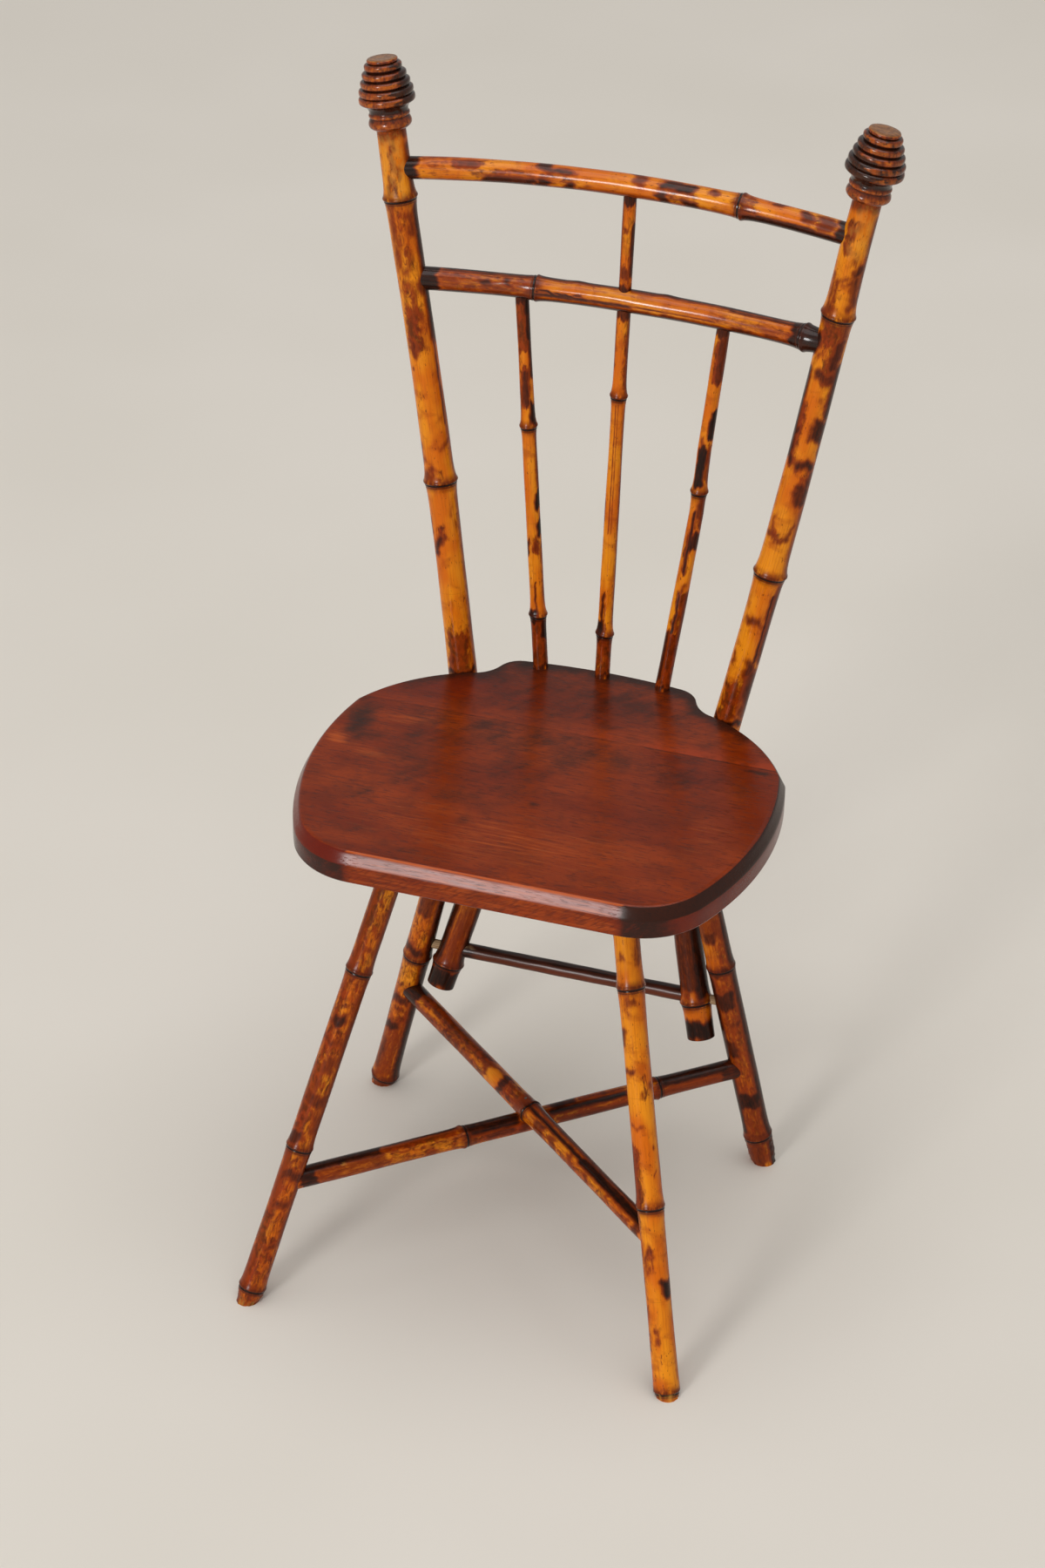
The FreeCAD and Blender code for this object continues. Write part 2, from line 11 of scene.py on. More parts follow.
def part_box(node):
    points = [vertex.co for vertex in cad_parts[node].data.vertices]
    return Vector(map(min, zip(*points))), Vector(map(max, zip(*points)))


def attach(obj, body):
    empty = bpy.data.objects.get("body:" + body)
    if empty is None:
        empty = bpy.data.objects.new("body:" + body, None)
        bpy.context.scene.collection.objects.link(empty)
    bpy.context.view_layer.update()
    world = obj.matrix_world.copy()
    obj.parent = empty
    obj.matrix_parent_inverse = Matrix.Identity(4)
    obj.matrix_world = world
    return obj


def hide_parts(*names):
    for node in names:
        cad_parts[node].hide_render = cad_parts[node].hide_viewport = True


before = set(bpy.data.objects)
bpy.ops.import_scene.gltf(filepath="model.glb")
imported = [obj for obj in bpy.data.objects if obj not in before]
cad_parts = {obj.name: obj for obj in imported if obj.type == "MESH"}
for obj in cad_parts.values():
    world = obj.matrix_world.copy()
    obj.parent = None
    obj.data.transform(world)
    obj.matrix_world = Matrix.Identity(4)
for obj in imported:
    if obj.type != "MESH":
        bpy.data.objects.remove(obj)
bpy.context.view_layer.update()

# Lengths are in mm, measured from the middle of the seat's front edge, until a piece is put in its place.
SEAT_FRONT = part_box("seat_front_board")[0].y * 1000
MM = 0.001

SEAT_HEIGHT, SEAT_WIDTH, SEAT_DEPTH, SEAT_THICK = 430.0, 392.0, 329.0, 27.0
SEAT_UNDER = SEAT_HEIGHT - SEAT_THICK
# How far back the boards' seam lies, and half of the front's straight edge
SEAM, FRONT_HALF = 227.0, 113.0

# The camera stands at the front right, above the chair.
EYE = np.array((829.3, -2528.5, 2270.6))
EYE_YAW, EYE_PITCH, EYE_ROLL = (math.radians(a) for a in (17.486, 33.319, 0.943))
EYE_REACH = 4755.7
PHOTO_TALL = 1800


def unit(vector):
    return vector / np.linalg.norm(vector, axis=-1, keepdims=True)


def ease(value, low, high):
    t = np.clip((value - low) / (high - low), 0, 1)
    return t * t * (3 - 2 * t)


# Lines that the culms follow

def straight(foot, tip, bow=(0, 0, 0), kinks=((0, 0), (1, 0))):
    """A straight culm's middle line, with the slight kinks that a grown stem has at its rings."""
    foot, tip = np.array(foot, float), np.array(tip, float)
    length = float(np.linalg.norm(tip - foot))

    def path(s):
        share = s / length
        sway = np.interp(share, *zip(*kinks))
        return foot + np.outer(share, tip - foot) + np.outer(sway, bow)
    return path, length


# Legs: the top's place in shares of the seat's half width and depth; the foot's splay and reach; radius
LEG_SETS = {
    "front": ((0.465, 0.242), 91.9, -136.6, 10.4),
    "rear": ((0.440, 0.771), 90.8, 10.8, 11.4),
}


def leg_ends(row, side):
    (across, back), splay, reach, _ = LEG_SETS[row]
    top = np.array((side * SEAT_WIDTH / 2 * across, SEAT_DEPTH * back, SEAT_UNDER))
    return np.array((top[0] + side * splay, top[1] + reach, 0.0)), top


def leg_at(row, side, height):
    foot, top = leg_ends(row, side)
    return foot + (top - foot) * (height / SEAT_UNDER)


# Posts: their place at the seat in shares of its half width and depth; their lean out and back; their rise
POST_AT_SEAT, POST_LEAN, POST_RISE = (0.587, 0.9085), (80.4, 48.8), 456.5
POST_RADIUS, POST_BEND, POST_TOP_LIFT = 12.0, 250.0, 3.0
# The bend's drop as a share of the way down to the tie, and how far the cut end hangs below the tie
POST_BEND_DROP, POST_BELOW_TIE = 0.637, 37.0
POST_SWAY_START, POST_SWAY_END = 300.0, {-1: 705.0, 1: 740.0}
# The tie's height, and how far inside the rear leg a post hangs there
TIE_HEIGHT, TIE_TO_POST = 165.0, 29.8


def post_ends(side):
    across, back = SEAT_WIDTH / 2 * POST_AT_SEAT[0], SEAT_DEPTH * POST_AT_SEAT[1]
    seat = np.array((side * across, back, SEAT_HEIGHT - SEAT_THICK / 2))
    top = seat + np.array((side * POST_LEAN[0], POST_LEAN[1], SEAT_HEIGHT + POST_RISE - seat[2]))
    return seat, top


def post_line(side, bow):
    """A post leans out and back above the seat, and bends inwards below it."""
    seat, top = post_ends(side)
    up = unit(top - seat)
    tie = leg_at("rear", side, TIE_HEIGHT) - np.array((side * TIE_TO_POST, 0, 0))
    bend = seat - up * ((seat[2] - tie[2]) * POST_BEND_DROP / up[2])
    low = unit(bend - tie)
    turn = math.acos(float(up @ low))
    inward = unit(up - low * (up @ low))
    lead = POST_BEND * math.tan(turn / 2)
    arc_foot, end = bend - low * lead, tie - low * POST_BELOW_TIE
    run, arc = float(np.linalg.norm(arc_foot - end)), POST_BEND * turn
    length = run + arc + float(np.linalg.norm(top - bend - up * lead)) + POST_TOP_LIFT

    def path(s):
        bent = np.clip((s - run) / POST_BEND, 0, turn)
        line = end + np.outer(np.minimum(s, run), low)
        line += POST_BEND * (np.outer(np.sin(bent), low) + np.outer(1 - np.cos(bent), inward))
        line += np.outer(np.maximum(s - run - arc, 0), up)
        share = (s - POST_SWAY_START) / (POST_SWAY_END[side] - POST_SWAY_START)
        sway = np.sin(np.pi * np.clip(share, 0, 1))
        return line + np.outer(sway, bow)
    return path, length


def rail_line(height, bow, rise):
    """A rail bows backwards between the posts."""
    seat, top = post_ends(1)
    end = seat + (top - seat) * ((height - seat[2]) / (top[2] - seat[2]))
    sag = math.hypot(bow, rise)
    radius = (end[0] ** 2 + sag ** 2) / (2 * sag)
    out = np.array((0, bow, rise)) / sag
    centre = np.array((0, end[1], height)) + out * (sag - radius)
    half = math.asin(end[0] / radius)

    def path(s):
        turn = s / radius - half
        return centre + np.outer(radius * np.sin(turn), (1, 0, 0)) + np.outer(radius * np.cos(turn), out)
    return path, 2 * half * radius


class Stem:
    """A culm's middle line, with the way that faces the camera and the way across it."""

    SPARE = 40

    def __init__(self, line, radius):
        path, self.length = line
        self.radius = radius
        self.s = np.arange(-self.SPARE, self.length + self.SPARE + 1.0)
        self.middle = path(self.s)
        self.along = unit(np.gradient(self.middle, axis=0))
        to_eye = EYE - self.middle
        self.face = unit(to_eye - self.along * np.sum(to_eye * self.along, axis=1, keepdims=True))
        self.across = np.cross(self.along, self.face)

    def at(self, values, s):
        return np.stack([np.interp(s, self.s, values[:, k]) for k in range(3)], axis=-1)

    def skin(self, s, turn, radius):
        out = np.cos(turn)[:, None] * self.at(self.face, s) + np.sin(turn)[:, None] * self.at(self.across, s)
        return self.at(self.middle, s) + radius[:, None] * out


# How far a coped end sinks into the piece that carries it
BUTT_SINK = 0.1


def meets(stem, carrier, turn, last):
    """How far along a stem its skin leaves the round carrier that its end butts against."""
    near = stem.length if last else 0.0
    mid = stem.at(stem.middle, np.array([near]))[0]
    spot = np.argmin(np.linalg.norm(carrier.middle - mid, axis=1))
    hub, lie = carrier.middle[spot], carrier.along[spot]
    way = stem.at(stem.along, np.array([near]))[0]
    start = stem.skin(np.full(turn.shape, near), turn, np.full(turn.shape, stem.radius)) - hub
    start = start - np.outer(start @ lie, lie)
    way = way - lie * (way @ lie)
    a, b = way @ way, start @ way
    c = np.sum(start * start, axis=1) - (carrier.radius - BUTT_SINK) ** 2
    root = np.sqrt(np.maximum(b * b - a * c, 0.0))
    return near + (-b - root if last else -b + root) / a


# Marks that the maker's flame left on the culms, and painted shade

def away_from(degrees, around):
    return (degrees - around + 180) % 360 - 180


def mark_box(s, turn, radius, mark, soft):
    """A soft-edged patch: from, to along the stem; from, to around it in degrees."""
    first, last, low, high = mark[:4]
    narrow = min(last - first, (high - low) * radius * math.pi / 180)
    round_off, soft = min(4.0, narrow / 2), min(soft, max(1.2, 0.8 * narrow))
    along = np.abs(s - (first + last) / 2) - (last - first) / 2 + round_off
    around = np.abs(away_from(turn, (low + high) / 2)) - (high - low) / 2
    around = around * radius * math.pi / 180 + round_off
    outside = np.hypot(np.maximum(along, 0), np.maximum(around, 0))
    far = outside + np.minimum(np.maximum(along, around), 0) - round_off
    return np.clip(0.5 - far / soft, 0, 1)


HALO_WIDE = 3.6


def mark_halo(s, turn, radius, mark):
    """A soft, broken ring that a round drop of heat left."""
    middle, around, half_long, half_turn = mark[:4]
    x = (s - middle) / half_long
    y = away_from(turn, around) / half_turn
    size = min(half_long, half_turn * radius * math.pi / 180)
    ring = np.clip(1 - np.abs(np.hypot(x, y) - 1) * size / HALO_WIDE, 0, 1)
    return ring * (0.62 + 0.38 * np.sin(np.arctan2(y, x) + middle))


def frayed(s, turn, seed):
    """Places shifted a little, so that marks run ragged along the fibres."""
    around = np.radians(turn)
    shift = 1.6 * np.sin(3 * around + seed + 0.03 * s) + 1.0 * np.sin(7 * around + 2.1 * seed - 0.02 * s)
    shift += 0.6 * np.sin(13 * around + 3.7 * seed + 0.06 * s)
    sway = 5.0 * np.sin(0.17 * s + seed) + 3.5 * np.sin(0.41 * s + 2.3 * seed + 2 * around)
    sway += 2.0 * np.sin(0.83 * s + 3 * around)
    return s + shift, turn + sway


# Marks longer than this run straight, with only a share of the sway
LONG_MARK, LONG_SWAY = 45.0, 0.2


def painted(s, turn, radius, marks, seed):
    """The share of scorch and painted shade, red stain and pale wear at every point. Long marks run straight along
    the fibres.
    """
    ragged = frayed(s, turn, seed)
    smooth = ragged[0], turn + LONG_SWAY * (ragged[1] - turn)
    soft = min(6.0, 0.5 * radius)
    out = np.zeros((len(s), 3))
    for part, kind, spread in ((0, "scorch_and_shade", soft), (1, "blush", soft * 1.8), (2, "wear", 4.0)):
        for mark in marks.get(kind, ()):
            place = smooth if mark[1] - mark[0] > LONG_MARK else ragged
            out[:, part] = np.maximum(out[:, part], mark_box(*place, radius, mark, spread) * mark[4])
    for mark in marks.get("halo", ()):
        out[:, 0] = np.maximum(out[:, 0], mark_halo(*ragged, radius, mark) * mark[4])
    return out


def far_side_marks(seed, length, count):
    """Flame marks for the sides that face away from the camera."""
    draw = random.Random(seed)
    marks = {"scorch_and_shade": [], "halo": [], "blush": []}
    for _ in range(count):
        s, around = draw.uniform(0, length), draw.uniform(95, 265)
        kind = draw.choice(("scorch_and_shade", "scorch_and_shade", "halo", "blush", "blush"))
        half_long, half_turn = draw.uniform(4, 14), draw.uniform(14, 48)
        if kind == "halo":
            marks["halo"].append((s, around, half_long, half_turn, 0.55))
        else:
            along = (s - half_long, s + half_long)
            marks[kind].append((*along, around - half_turn, around + half_turn, draw.uniform(0.45, 0.9)))
    return marks


# Bamboo culms

ROW_STEP = 1.7
# How much longer than its stem a culm is made before a level cut, and how near an end it is coped
CUT_SPARE, COPE_ZONE = 14.0, 26.0
BORE_DEPTH, MERGE = 24.0, 0.02
# Below this a stem takes the marks that lie here, so that a foot isn't left bare
FOOT_MARKS = 2.0
# One seeded mark on the far side for each such length
FAR_MARK_EVERY = 16
GRAIN_SHIFT = np.array((97.0, 31.0, 0.0))


def rows_along(first, last, rings, step):
    """Rows of points along a culm, closer together at its rings."""
    fine = np.arange(first, last + 0.2, 0.2)
    fine[-1] = last
    crowd = np.full(fine.shape, 1 / step)
    for ring in rings:
        crowd += 2.0 * np.exp(-((fine - ring) / 5.0) ** 2)
    count = np.concatenate(([0], np.cumsum((crowd[1:] + crowd[:-1]) / 2 * np.diff(fine))))
    return np.interp(np.linspace(0, count[-1], int(count[-1]) + 2), count, fine)


def tube(rows, sides):
    """An upright tube of unit size, to be laid along a stem."""
    shape = bmesh.new()
    ends = [shape.verts.new((1, 0, height)) for height in (0, 1)]
    edge = shape.edges.new(ends)
    bmesh.ops.subdivide_edges(shape, edges=[edge], cuts=rows - 2)
    bmesh.ops.spin(shape, geom=shape.verts[:] + shape.edges[:], cent=(0, 0, 0), axis=(0, 0, 1),
                   angle=2 * math.pi, steps=sides, use_merge=True)
    bmesh.ops.remove_doubles(shape, verts=shape.verts, dist=1e-5)
    return shape


def unrolled(rows, sides):
    """A tube, and the place of each of its points along the stem and around it."""
    shape = tube(len(rows), sides)
    spots = np.array([v.co for v in shape.verts])
    s = np.interp(spots[:, 2], np.linspace(0, 1, len(rows)), rows)
    return shape, s, np.arctan2(spots[:, 1], spots[:, 0])


def lay(shape, stem, s, turn, radius, paint, seed, **plain):
    """Lays a tube along its stem, with the values that its finish reads at each point."""
    skin = stem.skin(s, turn, radius)
    grain = np.stack([stem.radius * np.cos(turn), stem.radius * np.sin(turn), s], axis=-1) + seed * GRAIN_SHIFT
    grain_layer = shape.verts.layers.float_vector.new("grain")
    plain_layers = [(shape.verts.layers.float.new(key), values) for key, values in plain.items()]
    paint_layer = shape.verts.layers.float_color.new("paint")
    for k, vert in enumerate(shape.verts):
        vert.co, vert[grain_layer], vert[paint_layer] = skin[k], grain[k], (*paint[k], 1.0)
        for layer, values in plain_layers:
            vert[layer] = values[k]


def ring_swell(off, swell, width):
    """How a culm swells at a ring: a broad bulge, a thin ridge on it, and two fine grooves under the ridge."""
    bulge = 0.72 / (1 + (off / width) ** 2)
    ridge = 0.28 * np.exp(-(off / 1.6) ** 2)
    grooves = 0.42 * np.exp(-((off + 1.7) / 0.6) ** 2) + 0.20 * np.exp(-((off + 4.1) / 0.6) ** 2)
    return swell * (bulge + ridge) - min(1.0, swell) * grooves


def close_ends(shape):
    """Fills every open loop and returns the new faces."""
    rims = [e for e in shape.edges if e.is_boundary]
    return bmesh.ops.holes_fill(shape, edges=rims, sides=0)["faces"] if rims else []


def hollow_out(shape, face, wall, sunk):
    """Sinks the bore of a culm into its cut end, along the culm."""
    middle = face.calc_center_median()
    reach = sum((v.co - middle).length for v in face.verts) / len(face.verts)
    for share, move in ((1 - wall / reach, Vector((0, 0, 0))), (1.0, sunk)):
        fresh = bmesh.ops.extrude_face_region(shape, geom=[face])["geom"]
        bmesh.ops.delete(shape, geom=[face], context="FACES_ONLY")
        face = next(p for p in fresh if isinstance(p, bmesh.types.BMFace))
        for vert in face.verts:
            vert.co = middle + (vert.co - middle) * share + move


def cut_level(shape, height, keep_above):
    """Cuts a culm off level and returns the cut's face."""
    geom = shape.verts[:] + shape.edges[:] + shape.faces[:]
    bmesh.ops.bisect_plane(shape, geom=geom, plane_co=(0, 0, height), plane_no=(0, 0, 1),
                           clear_inner=keep_above, clear_outer=not keep_above)
    bmesh.ops.remove_doubles(shape, verts=shape.verts, dist=MERGE)
    rim = [e for e in shape.edges if e.is_boundary and all(abs(v.co.z - height) < 2.5 * MERGE for v in e.verts)]
    return bmesh.ops.edgeloop_fill(shape, edges=rim)["faces"]


def coped(stem, s, turn, carriers):
    """Rows near the ends shifted, so that each end fits round the piece that carries it."""
    if carriers[0]:
        leave = meets(stem, carriers[0], turn, False)
        s = np.where(s < COPE_ZONE, leave + s * (COPE_ZONE - leave) / COPE_ZONE, s)
    if carriers[1]:
        leave = meets(stem, carriers[1], turn, True)
        back = stem.length - s
        s = np.where(back < COPE_ZONE, leave - back * (leave - stem.length + COPE_ZONE) / COPE_ZONE, s)
    return s


def gnawed_foot(s, turn, ring, seed):
    """What wear adds to a foot's radius below its lowest ring."""
    rough_end = 1 - ease(s, ring - 6.0, ring - 1.0)
    gnawed = np.sin(7 * turn + seed) * np.sin(0.9 * s + 3 * turn) + 0.7 * np.sin(13 * turn + 1.7 * s)
    return rough_end * 0.30 * gnawed - 1.5 * np.exp(-(np.maximum(s, 0) / 6.0) ** 2)


def culm(name, seed, carriers=(None, None), levels=(None, None), bores=(0, 0), sides=48, tip=1, swell=1.5,
         width=6.0, grooves=(), buds=(), thin=0.0, gloss=0.0):
    """One bamboo culm: swollen at its rings, coped or cut at its ends, and marked by the flame and by painted shade.
    """
    stem, rings, marks = stems[name], RINGS[name], MARKS[name]
    first = -CUT_SPARE if levels[0] is not None else 0.0
    last = stem.length + (CUT_SPARE if levels[1] is not None else 0.0)
    shape, s, turn = unrolled(rows_along(first, last, rings, ROW_STEP), sides)
    s = coped(stem, s, turn, carriers)

    knot = np.full(s.shape, 99.0)
    radius = stem.radius * (1 - thin * (s / stem.length - 0.5)) * (1 + 0.010 * np.cos(2 * turn + seed))
    radius += 0.12 * np.sin(s * 0.031 + seed) + 0.07 * np.sin(s * 0.083 + 2 * turn + seed)
    for ring, size in zip(rings, np.broadcast_to(swell, len(rings))):
        off = (s - ring) * tip + 0.4 * np.sin(turn + seed + ring)
        radius += ring_swell(off, size, width)
        knot = np.where(np.abs(off) < np.abs(knot), off, knot)
    if levels[0] == 0.0:
        radius += gnawed_foot(s, turn, rings[0], seed)
    degrees = np.degrees(turn)
    for low, high, around, half, deep in grooves:
        fade = ease(s, low - 3, low + 6) * (1 - ease(s, high - 30, high))
        radius -= deep * np.exp(-(away_from(degrees, around) / half) ** 2) * fade
    for middle, around, half_long, half, high in buds:
        radius += high * np.exp(-(away_from(degrees, around) / half) ** 2 - ((s - middle) / half_long) ** 2)

    far_marks = far_side_marks(seed, stem.length, int(stem.length / FAR_MARK_EVERY))
    paint = np.maximum(painted(np.maximum(s, FOOT_MARKS), degrees, stem.radius, marks, seed),
                       painted(s, degrees, stem.radius, far_marks, seed))
    lay(shape, stem, s, turn, radius, paint, seed, knot=knot, gloss=np.full(s.shape, gloss))

    ends = []
    for k, level in enumerate(levels):
        if level is not None:
            ends += [(face, k) for face in cut_level(shape, level, k == 0)]
    way = Vector(stem.along[len(stem.along) // 2])
    for face in close_ends(shape):
        face.normal_update()
        ends.append((face, 0 if face.normal.dot(way) < 0 else 1))
    bmesh.ops.recalc_face_normals(shape, faces=shape.faces)
    tips = stem.at(stem.along, np.array((0.0, stem.length))) * BORE_DEPTH
    for face, k in ends:
        if bores[k]:
            hollow_out(shape, face, stem.radius - bores[k], Vector(tips[1] * -1 if k else tips[0]))
    return made(name, shape, BAMBOO)


# Putting pieces in place

def made(node, shape, material, crease=38):
    """Turns a shape into a finished piece that stands for its node of the frame."""
    bmesh.ops.translate(shape, verts=shape.verts, vec=(0, SEAT_FRONT, 0))
    bmesh.ops.scale(shape, verts=shape.verts, vec=(MM, MM, MM))
    for face in shape.faces:
        face.smooth = True
    mesh = bpy.data.meshes.new(node + "_looks")
    shape.to_mesh(mesh)
    shape.free()
    mesh.set_sharp_from_angle(angle=math.radians(crease))
    mesh.materials.append(material)
    piece = bpy.data.objects.new(node + "_looks", mesh)
    bpy.context.scene.collection.objects.link(piece)
    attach(piece, "root")
    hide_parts(node)
    return piece


# Finishes

def shown(red, green, blue):
    """A colour picked as display values, made linear."""
    out = []
    for value in (red, green, blue):
        v = value / 255
        out.append(v / 12.92 if v <= 0.04045 else ((v + 0.055) / 1.055) ** 2.4)
    return (*out, 1.0)


class Wire:
    """One socket of a finish's nodes, with its sums written as Python."""

    def __init__(self, tree, socket=None):
        self.tree, self.socket = tree, socket

    def node(self, kind, settings, sockets, out=0):
        made_node = self.tree.nodes.new(kind)
        for key, value in settings.items():
            setattr(made_node, key, value)
        for key, value in sockets.items():
            if isinstance(value, Wire):
                self.tree.links.new(value.socket, made_node.inputs[key])
            else:
                made_node.inputs[key].default_value = value
        return Wire(self.tree, made_node.outputs[out])

    def sum(self, operation, first, second):
        return self.node("ShaderNodeMath", {"operation": operation}, {0: first, 1: second})

    def __add__(self, other):
        return self.sum("ADD", self, other)

    def __radd__(self, other):
        return self.sum("ADD", other, self)

    def __sub__(self, other):
        return self.sum("SUBTRACT", self, other)

    def __rsub__(self, other):
        return self.sum("SUBTRACT", other, self)

    def __mul__(self, other):
        return self.sum("MULTIPLY", self, other)

    def __rmul__(self, other):
        return self.sum("MULTIPLY", other, self)

    def __abs__(self):
        return self.sum("ABSOLUTE", self, 0.0)

    def step(self, low, high):
        """Rises smoothly from 0 at low to 1 at high, or falls where low is the larger."""
        if low > high:
            return 1 - self.step(high, low)
        sockets = {0: self, 1: low, 2: high, 3: 0.0, 4: 1.0}
        return self.node("ShaderNodeMapRange", {"interpolation_type": "SMOOTHSTEP"}, sockets)

    def blend(self, first, second):
        """A colour that goes from first to second as this value goes from 0 to 1."""
        return self.node("ShaderNodeMix", {"data_type": "RGBA"}, {0: self, 6: first, 7: second}, 2)

    def stretched(self, x, y, z):
        return self.node("ShaderNodeVectorMath", {"operation": "MULTIPLY"}, {0: self, 1: (x, y, z)})

    def cloud(self, scale, detail=3.0, rough=0.55, twist=0.0):
        sockets = {"Vector": self, "Scale": scale, "Detail": detail, "Roughness": rough, "Distortion": twist}
        return self.node("ShaderNodeTexNoise", {"noise_dimensions": "3D"}, sockets)

    def attribute(self, name, out="Fac"):
        return self.node("ShaderNodeAttribute", {"attribute_name": name}, {}, out)

    def split(self, part):
        return self.node("ShaderNodeSeparateColor", {}, {0: self}, part)

    def split_place(self, part):
        return self.node("ShaderNodeSeparateXYZ", {}, {0: self}, part)


def finish(base, rough, normal=None, coat=0.0, coat_rough=0.1, metal=0.0, specular=0.5):
    """Joins colour, roughness and bump to one surface shader."""
    tree = base.tree
    body = tree.nodes.new("ShaderNodeBsdfPrincipled")
    tree.links.new(base.socket, body.inputs["Base Color"])
    tree.links.new(rough.socket, body.inputs["Roughness"])
    if normal:
        tree.links.new(normal.socket, body.inputs["Normal"])
    if isinstance(coat, Wire):
        tree.links.new(coat.socket, body.inputs["Coat Weight"])
    else:
        body.inputs["Coat Weight"].default_value = coat
    body.inputs["Coat Roughness"].default_value = coat_rough
    body.inputs["Metallic"].default_value = metal
    body.inputs["Specular IOR Level"].default_value = specular
    out = tree.nodes.new("ShaderNodeOutputMaterial")
    tree.links.new(body.outputs[0], out.inputs[0])


def blank(name):
    material = bpy.data.materials.new(name)
    material.use_nodes = True
    material.node_tree.nodes.clear()
    return material, Wire(material.node_tree)


def place_mm(wire):
    """Where a point lies on the chair, in mm."""
    return wire.node("ShaderNodeTexCoord", {}, {}, "Object").stretched(1000, 1000, 1000)


def bump(height, strength, distance):
    return height.node("ShaderNodeBump", {}, {"Strength": strength, "Distance": distance, "Height": height})


def bamboo_finish():
    material, wire = blank("flamed_bamboo")
    grain = wire.attribute("grain", "Vector")
    knot = wire.attribute("knot")
    paint = wire.attribute("paint", "Color")
    scorch_and_shade, blush, wear = (paint.split(k) for k in range(3))

    fibre = grain.stretched(1, 1, 0.05).cloud(0.85, 3, 0.6)
    strand = grain.stretched(1, 1, 0.13).cloud(0.55, 3, 0.6)
    drift = grain.stretched(1, 1, 0.5).cloud(0.045, 2, 0.5)
    smoke = grain.stretched(0.7, 0.7, 1).cloud(0.075, 4, 0.55, 0.4)
    edge = grain.stretched(1, 1, 0.6).cloud(0.24, 4, 0.6, 0.2)
    curl = grain.stretched(1, 1, 0.5).cloud(0.22, 4, 0.6, 1.0)
    fleck = grain.stretched(1, 1, 0.40).cloud(0.62, 2, 0.5)

    gold = drift.step(0.36, 0.64).blend(shown(198, 97, 8), shown(218, 132, 20))
    gold = (fibre.step(0.46, 0.72) * 0.42).blend(gold, shown(150, 66, 9))
    gold = (smoke.step(0.50, 0.70) * 0.55).blend(gold, shown(150, 60, 8))
    felt = blush.step(0.02, 0.3)
    red = (blush + (curl - 0.5) * 1.3 * felt + (strand - 0.5) * 0.5 * felt).step(0.18, 0.70)
    colour = (red * 0.92).blend(gold, edge.step(0.36, 0.64).blend(shown(72, 18, 5), shown(128, 40, 6)))
    speck = fleck.step(0.64, 0.70) * smoke.step(0.36, 0.56) * 0.75
    colour = speck.blend(colour, shown(84, 28, 8))
    # The first paint channel darkens the gold through amber and brown to near black; it carries flame marks and
    # painted shade alike.
    rag = scorch_and_shade.step(0.0, 0.30)
    ragged = scorch_and_shade + (edge - 0.5) * 0.50 * rag + (strand - 0.5) * 0.46 * rag
    colour = (ragged.step(0.0, 0.50) * 0.84).blend(colour, shown(136, 51, 8))
    colour = (ragged.step(0.26, 0.80) * 0.92).blend(colour, shown(78, 28, 8))
    darkest = ragged.step(0.60, 1.04)
    colour = (darkest * 0.96).blend(colour, fibre.step(0.4, 0.75).blend(shown(24, 13, 9), shown(46, 22, 12)))
    ring_warm = abs(knot + 0.8).step(9.0, 1.5)
    colour = (ring_warm * edge.step(0.26, 0.52) * (0.90 - 0.80 * darkest)).blend(colour, shown(104, 36, 8))
    ridge = abs(knot).step(2.6, 0.6) * strand.step(0.34, 0.60) * 0.55
    colour = ridge.blend(colour, shown(62, 22, 8))
    ring_dark = abs(knot + 1.8).step(1.7, 0.6)
    ring_faint = abs(knot + 4.1).step(0.9, 0.3) * 0.6
    colour = ring_dark.blend(colour, shown(36, 15, 8))
    colour = ring_faint.blend(colour, shown(64, 26, 10))
    colour = (wear * edge.step(0.35, 0.60) * 0.85).blend(colour, shown(212, 150, 58))

    rough = 0.15 + 0.10 * edge + 0.06 * fleck + 0.30 * wear
    height = 0.50 * fibre + 0.60 * smoke + 0.25 * curl - 0.5 * fleck.step(0.62, 0.72)
    gloss = wire.attribute("gloss")
    finish(colour, rough, bump(height, 0.18, 0.0005), coat=gloss, coat_rough=0.14, specular=0.16)
    return material


def turned_finish():
    material, wire = blank("turned_wood")
    paint = wire.attribute("paint", "Color")
    scorch_and_shade, groove, wear = (paint.split(k) for k in range(3))
    place = place_mm(wire)
    grain = place.stretched(1, 1, 0.22).cloud(0.30, 4, 0.6)
    edge = place.stretched(1, 1, 1.4).cloud(0.15, 4, 0.6, 0.4)
    fine = place.stretched(1, 1, 0.15).cloud(0.9, 2, 0.5)
    colour = grain.step(0.34, 0.66).blend(shown(142, 58, 10), shown(84, 30, 8))
    colour = (fine.step(0.5, 0.75) * 0.4).blend(colour, shown(86, 32, 9))
    rubbed = grain.step(0.35, 0.65).blend(shown(206, 112, 24), shown(166, 78, 14))
    colour = (wear * edge.step(0.32, 0.58) * 0.85).blend(colour, rubbed)
    colour = (edge.step(0.52, 0.66) * 0.8).blend(colour, shown(64, 22, 7))
    colour = (groove * 0.9).blend(colour, shown(36, 14, 7))
    mask = scorch_and_shade.step(0.0, 0.3)
    dark = (scorch_and_shade + (edge - 0.5) * 1.2 * mask + (grain - 0.5) * 0.6 * mask).step(0.22, 0.80)
    colour = (dark * 0.92).blend(colour, fine.step(0.4, 0.7).blend(shown(22, 11, 6), shown(52, 22, 10)))
    bare = grain.step(0.3, 0.7).blend(shown(138, 94, 44), shown(98, 62, 28))
    colour = (wear.step(0.85, 1.0) * 0.8).blend(colour, bare)
    rough = 0.18 + 0.12 * grain
    finish(colour, rough, bump(fine, 0.12, 0.0003), coat=0.28, coat_rough=0.10, specular=0.22)
    return material


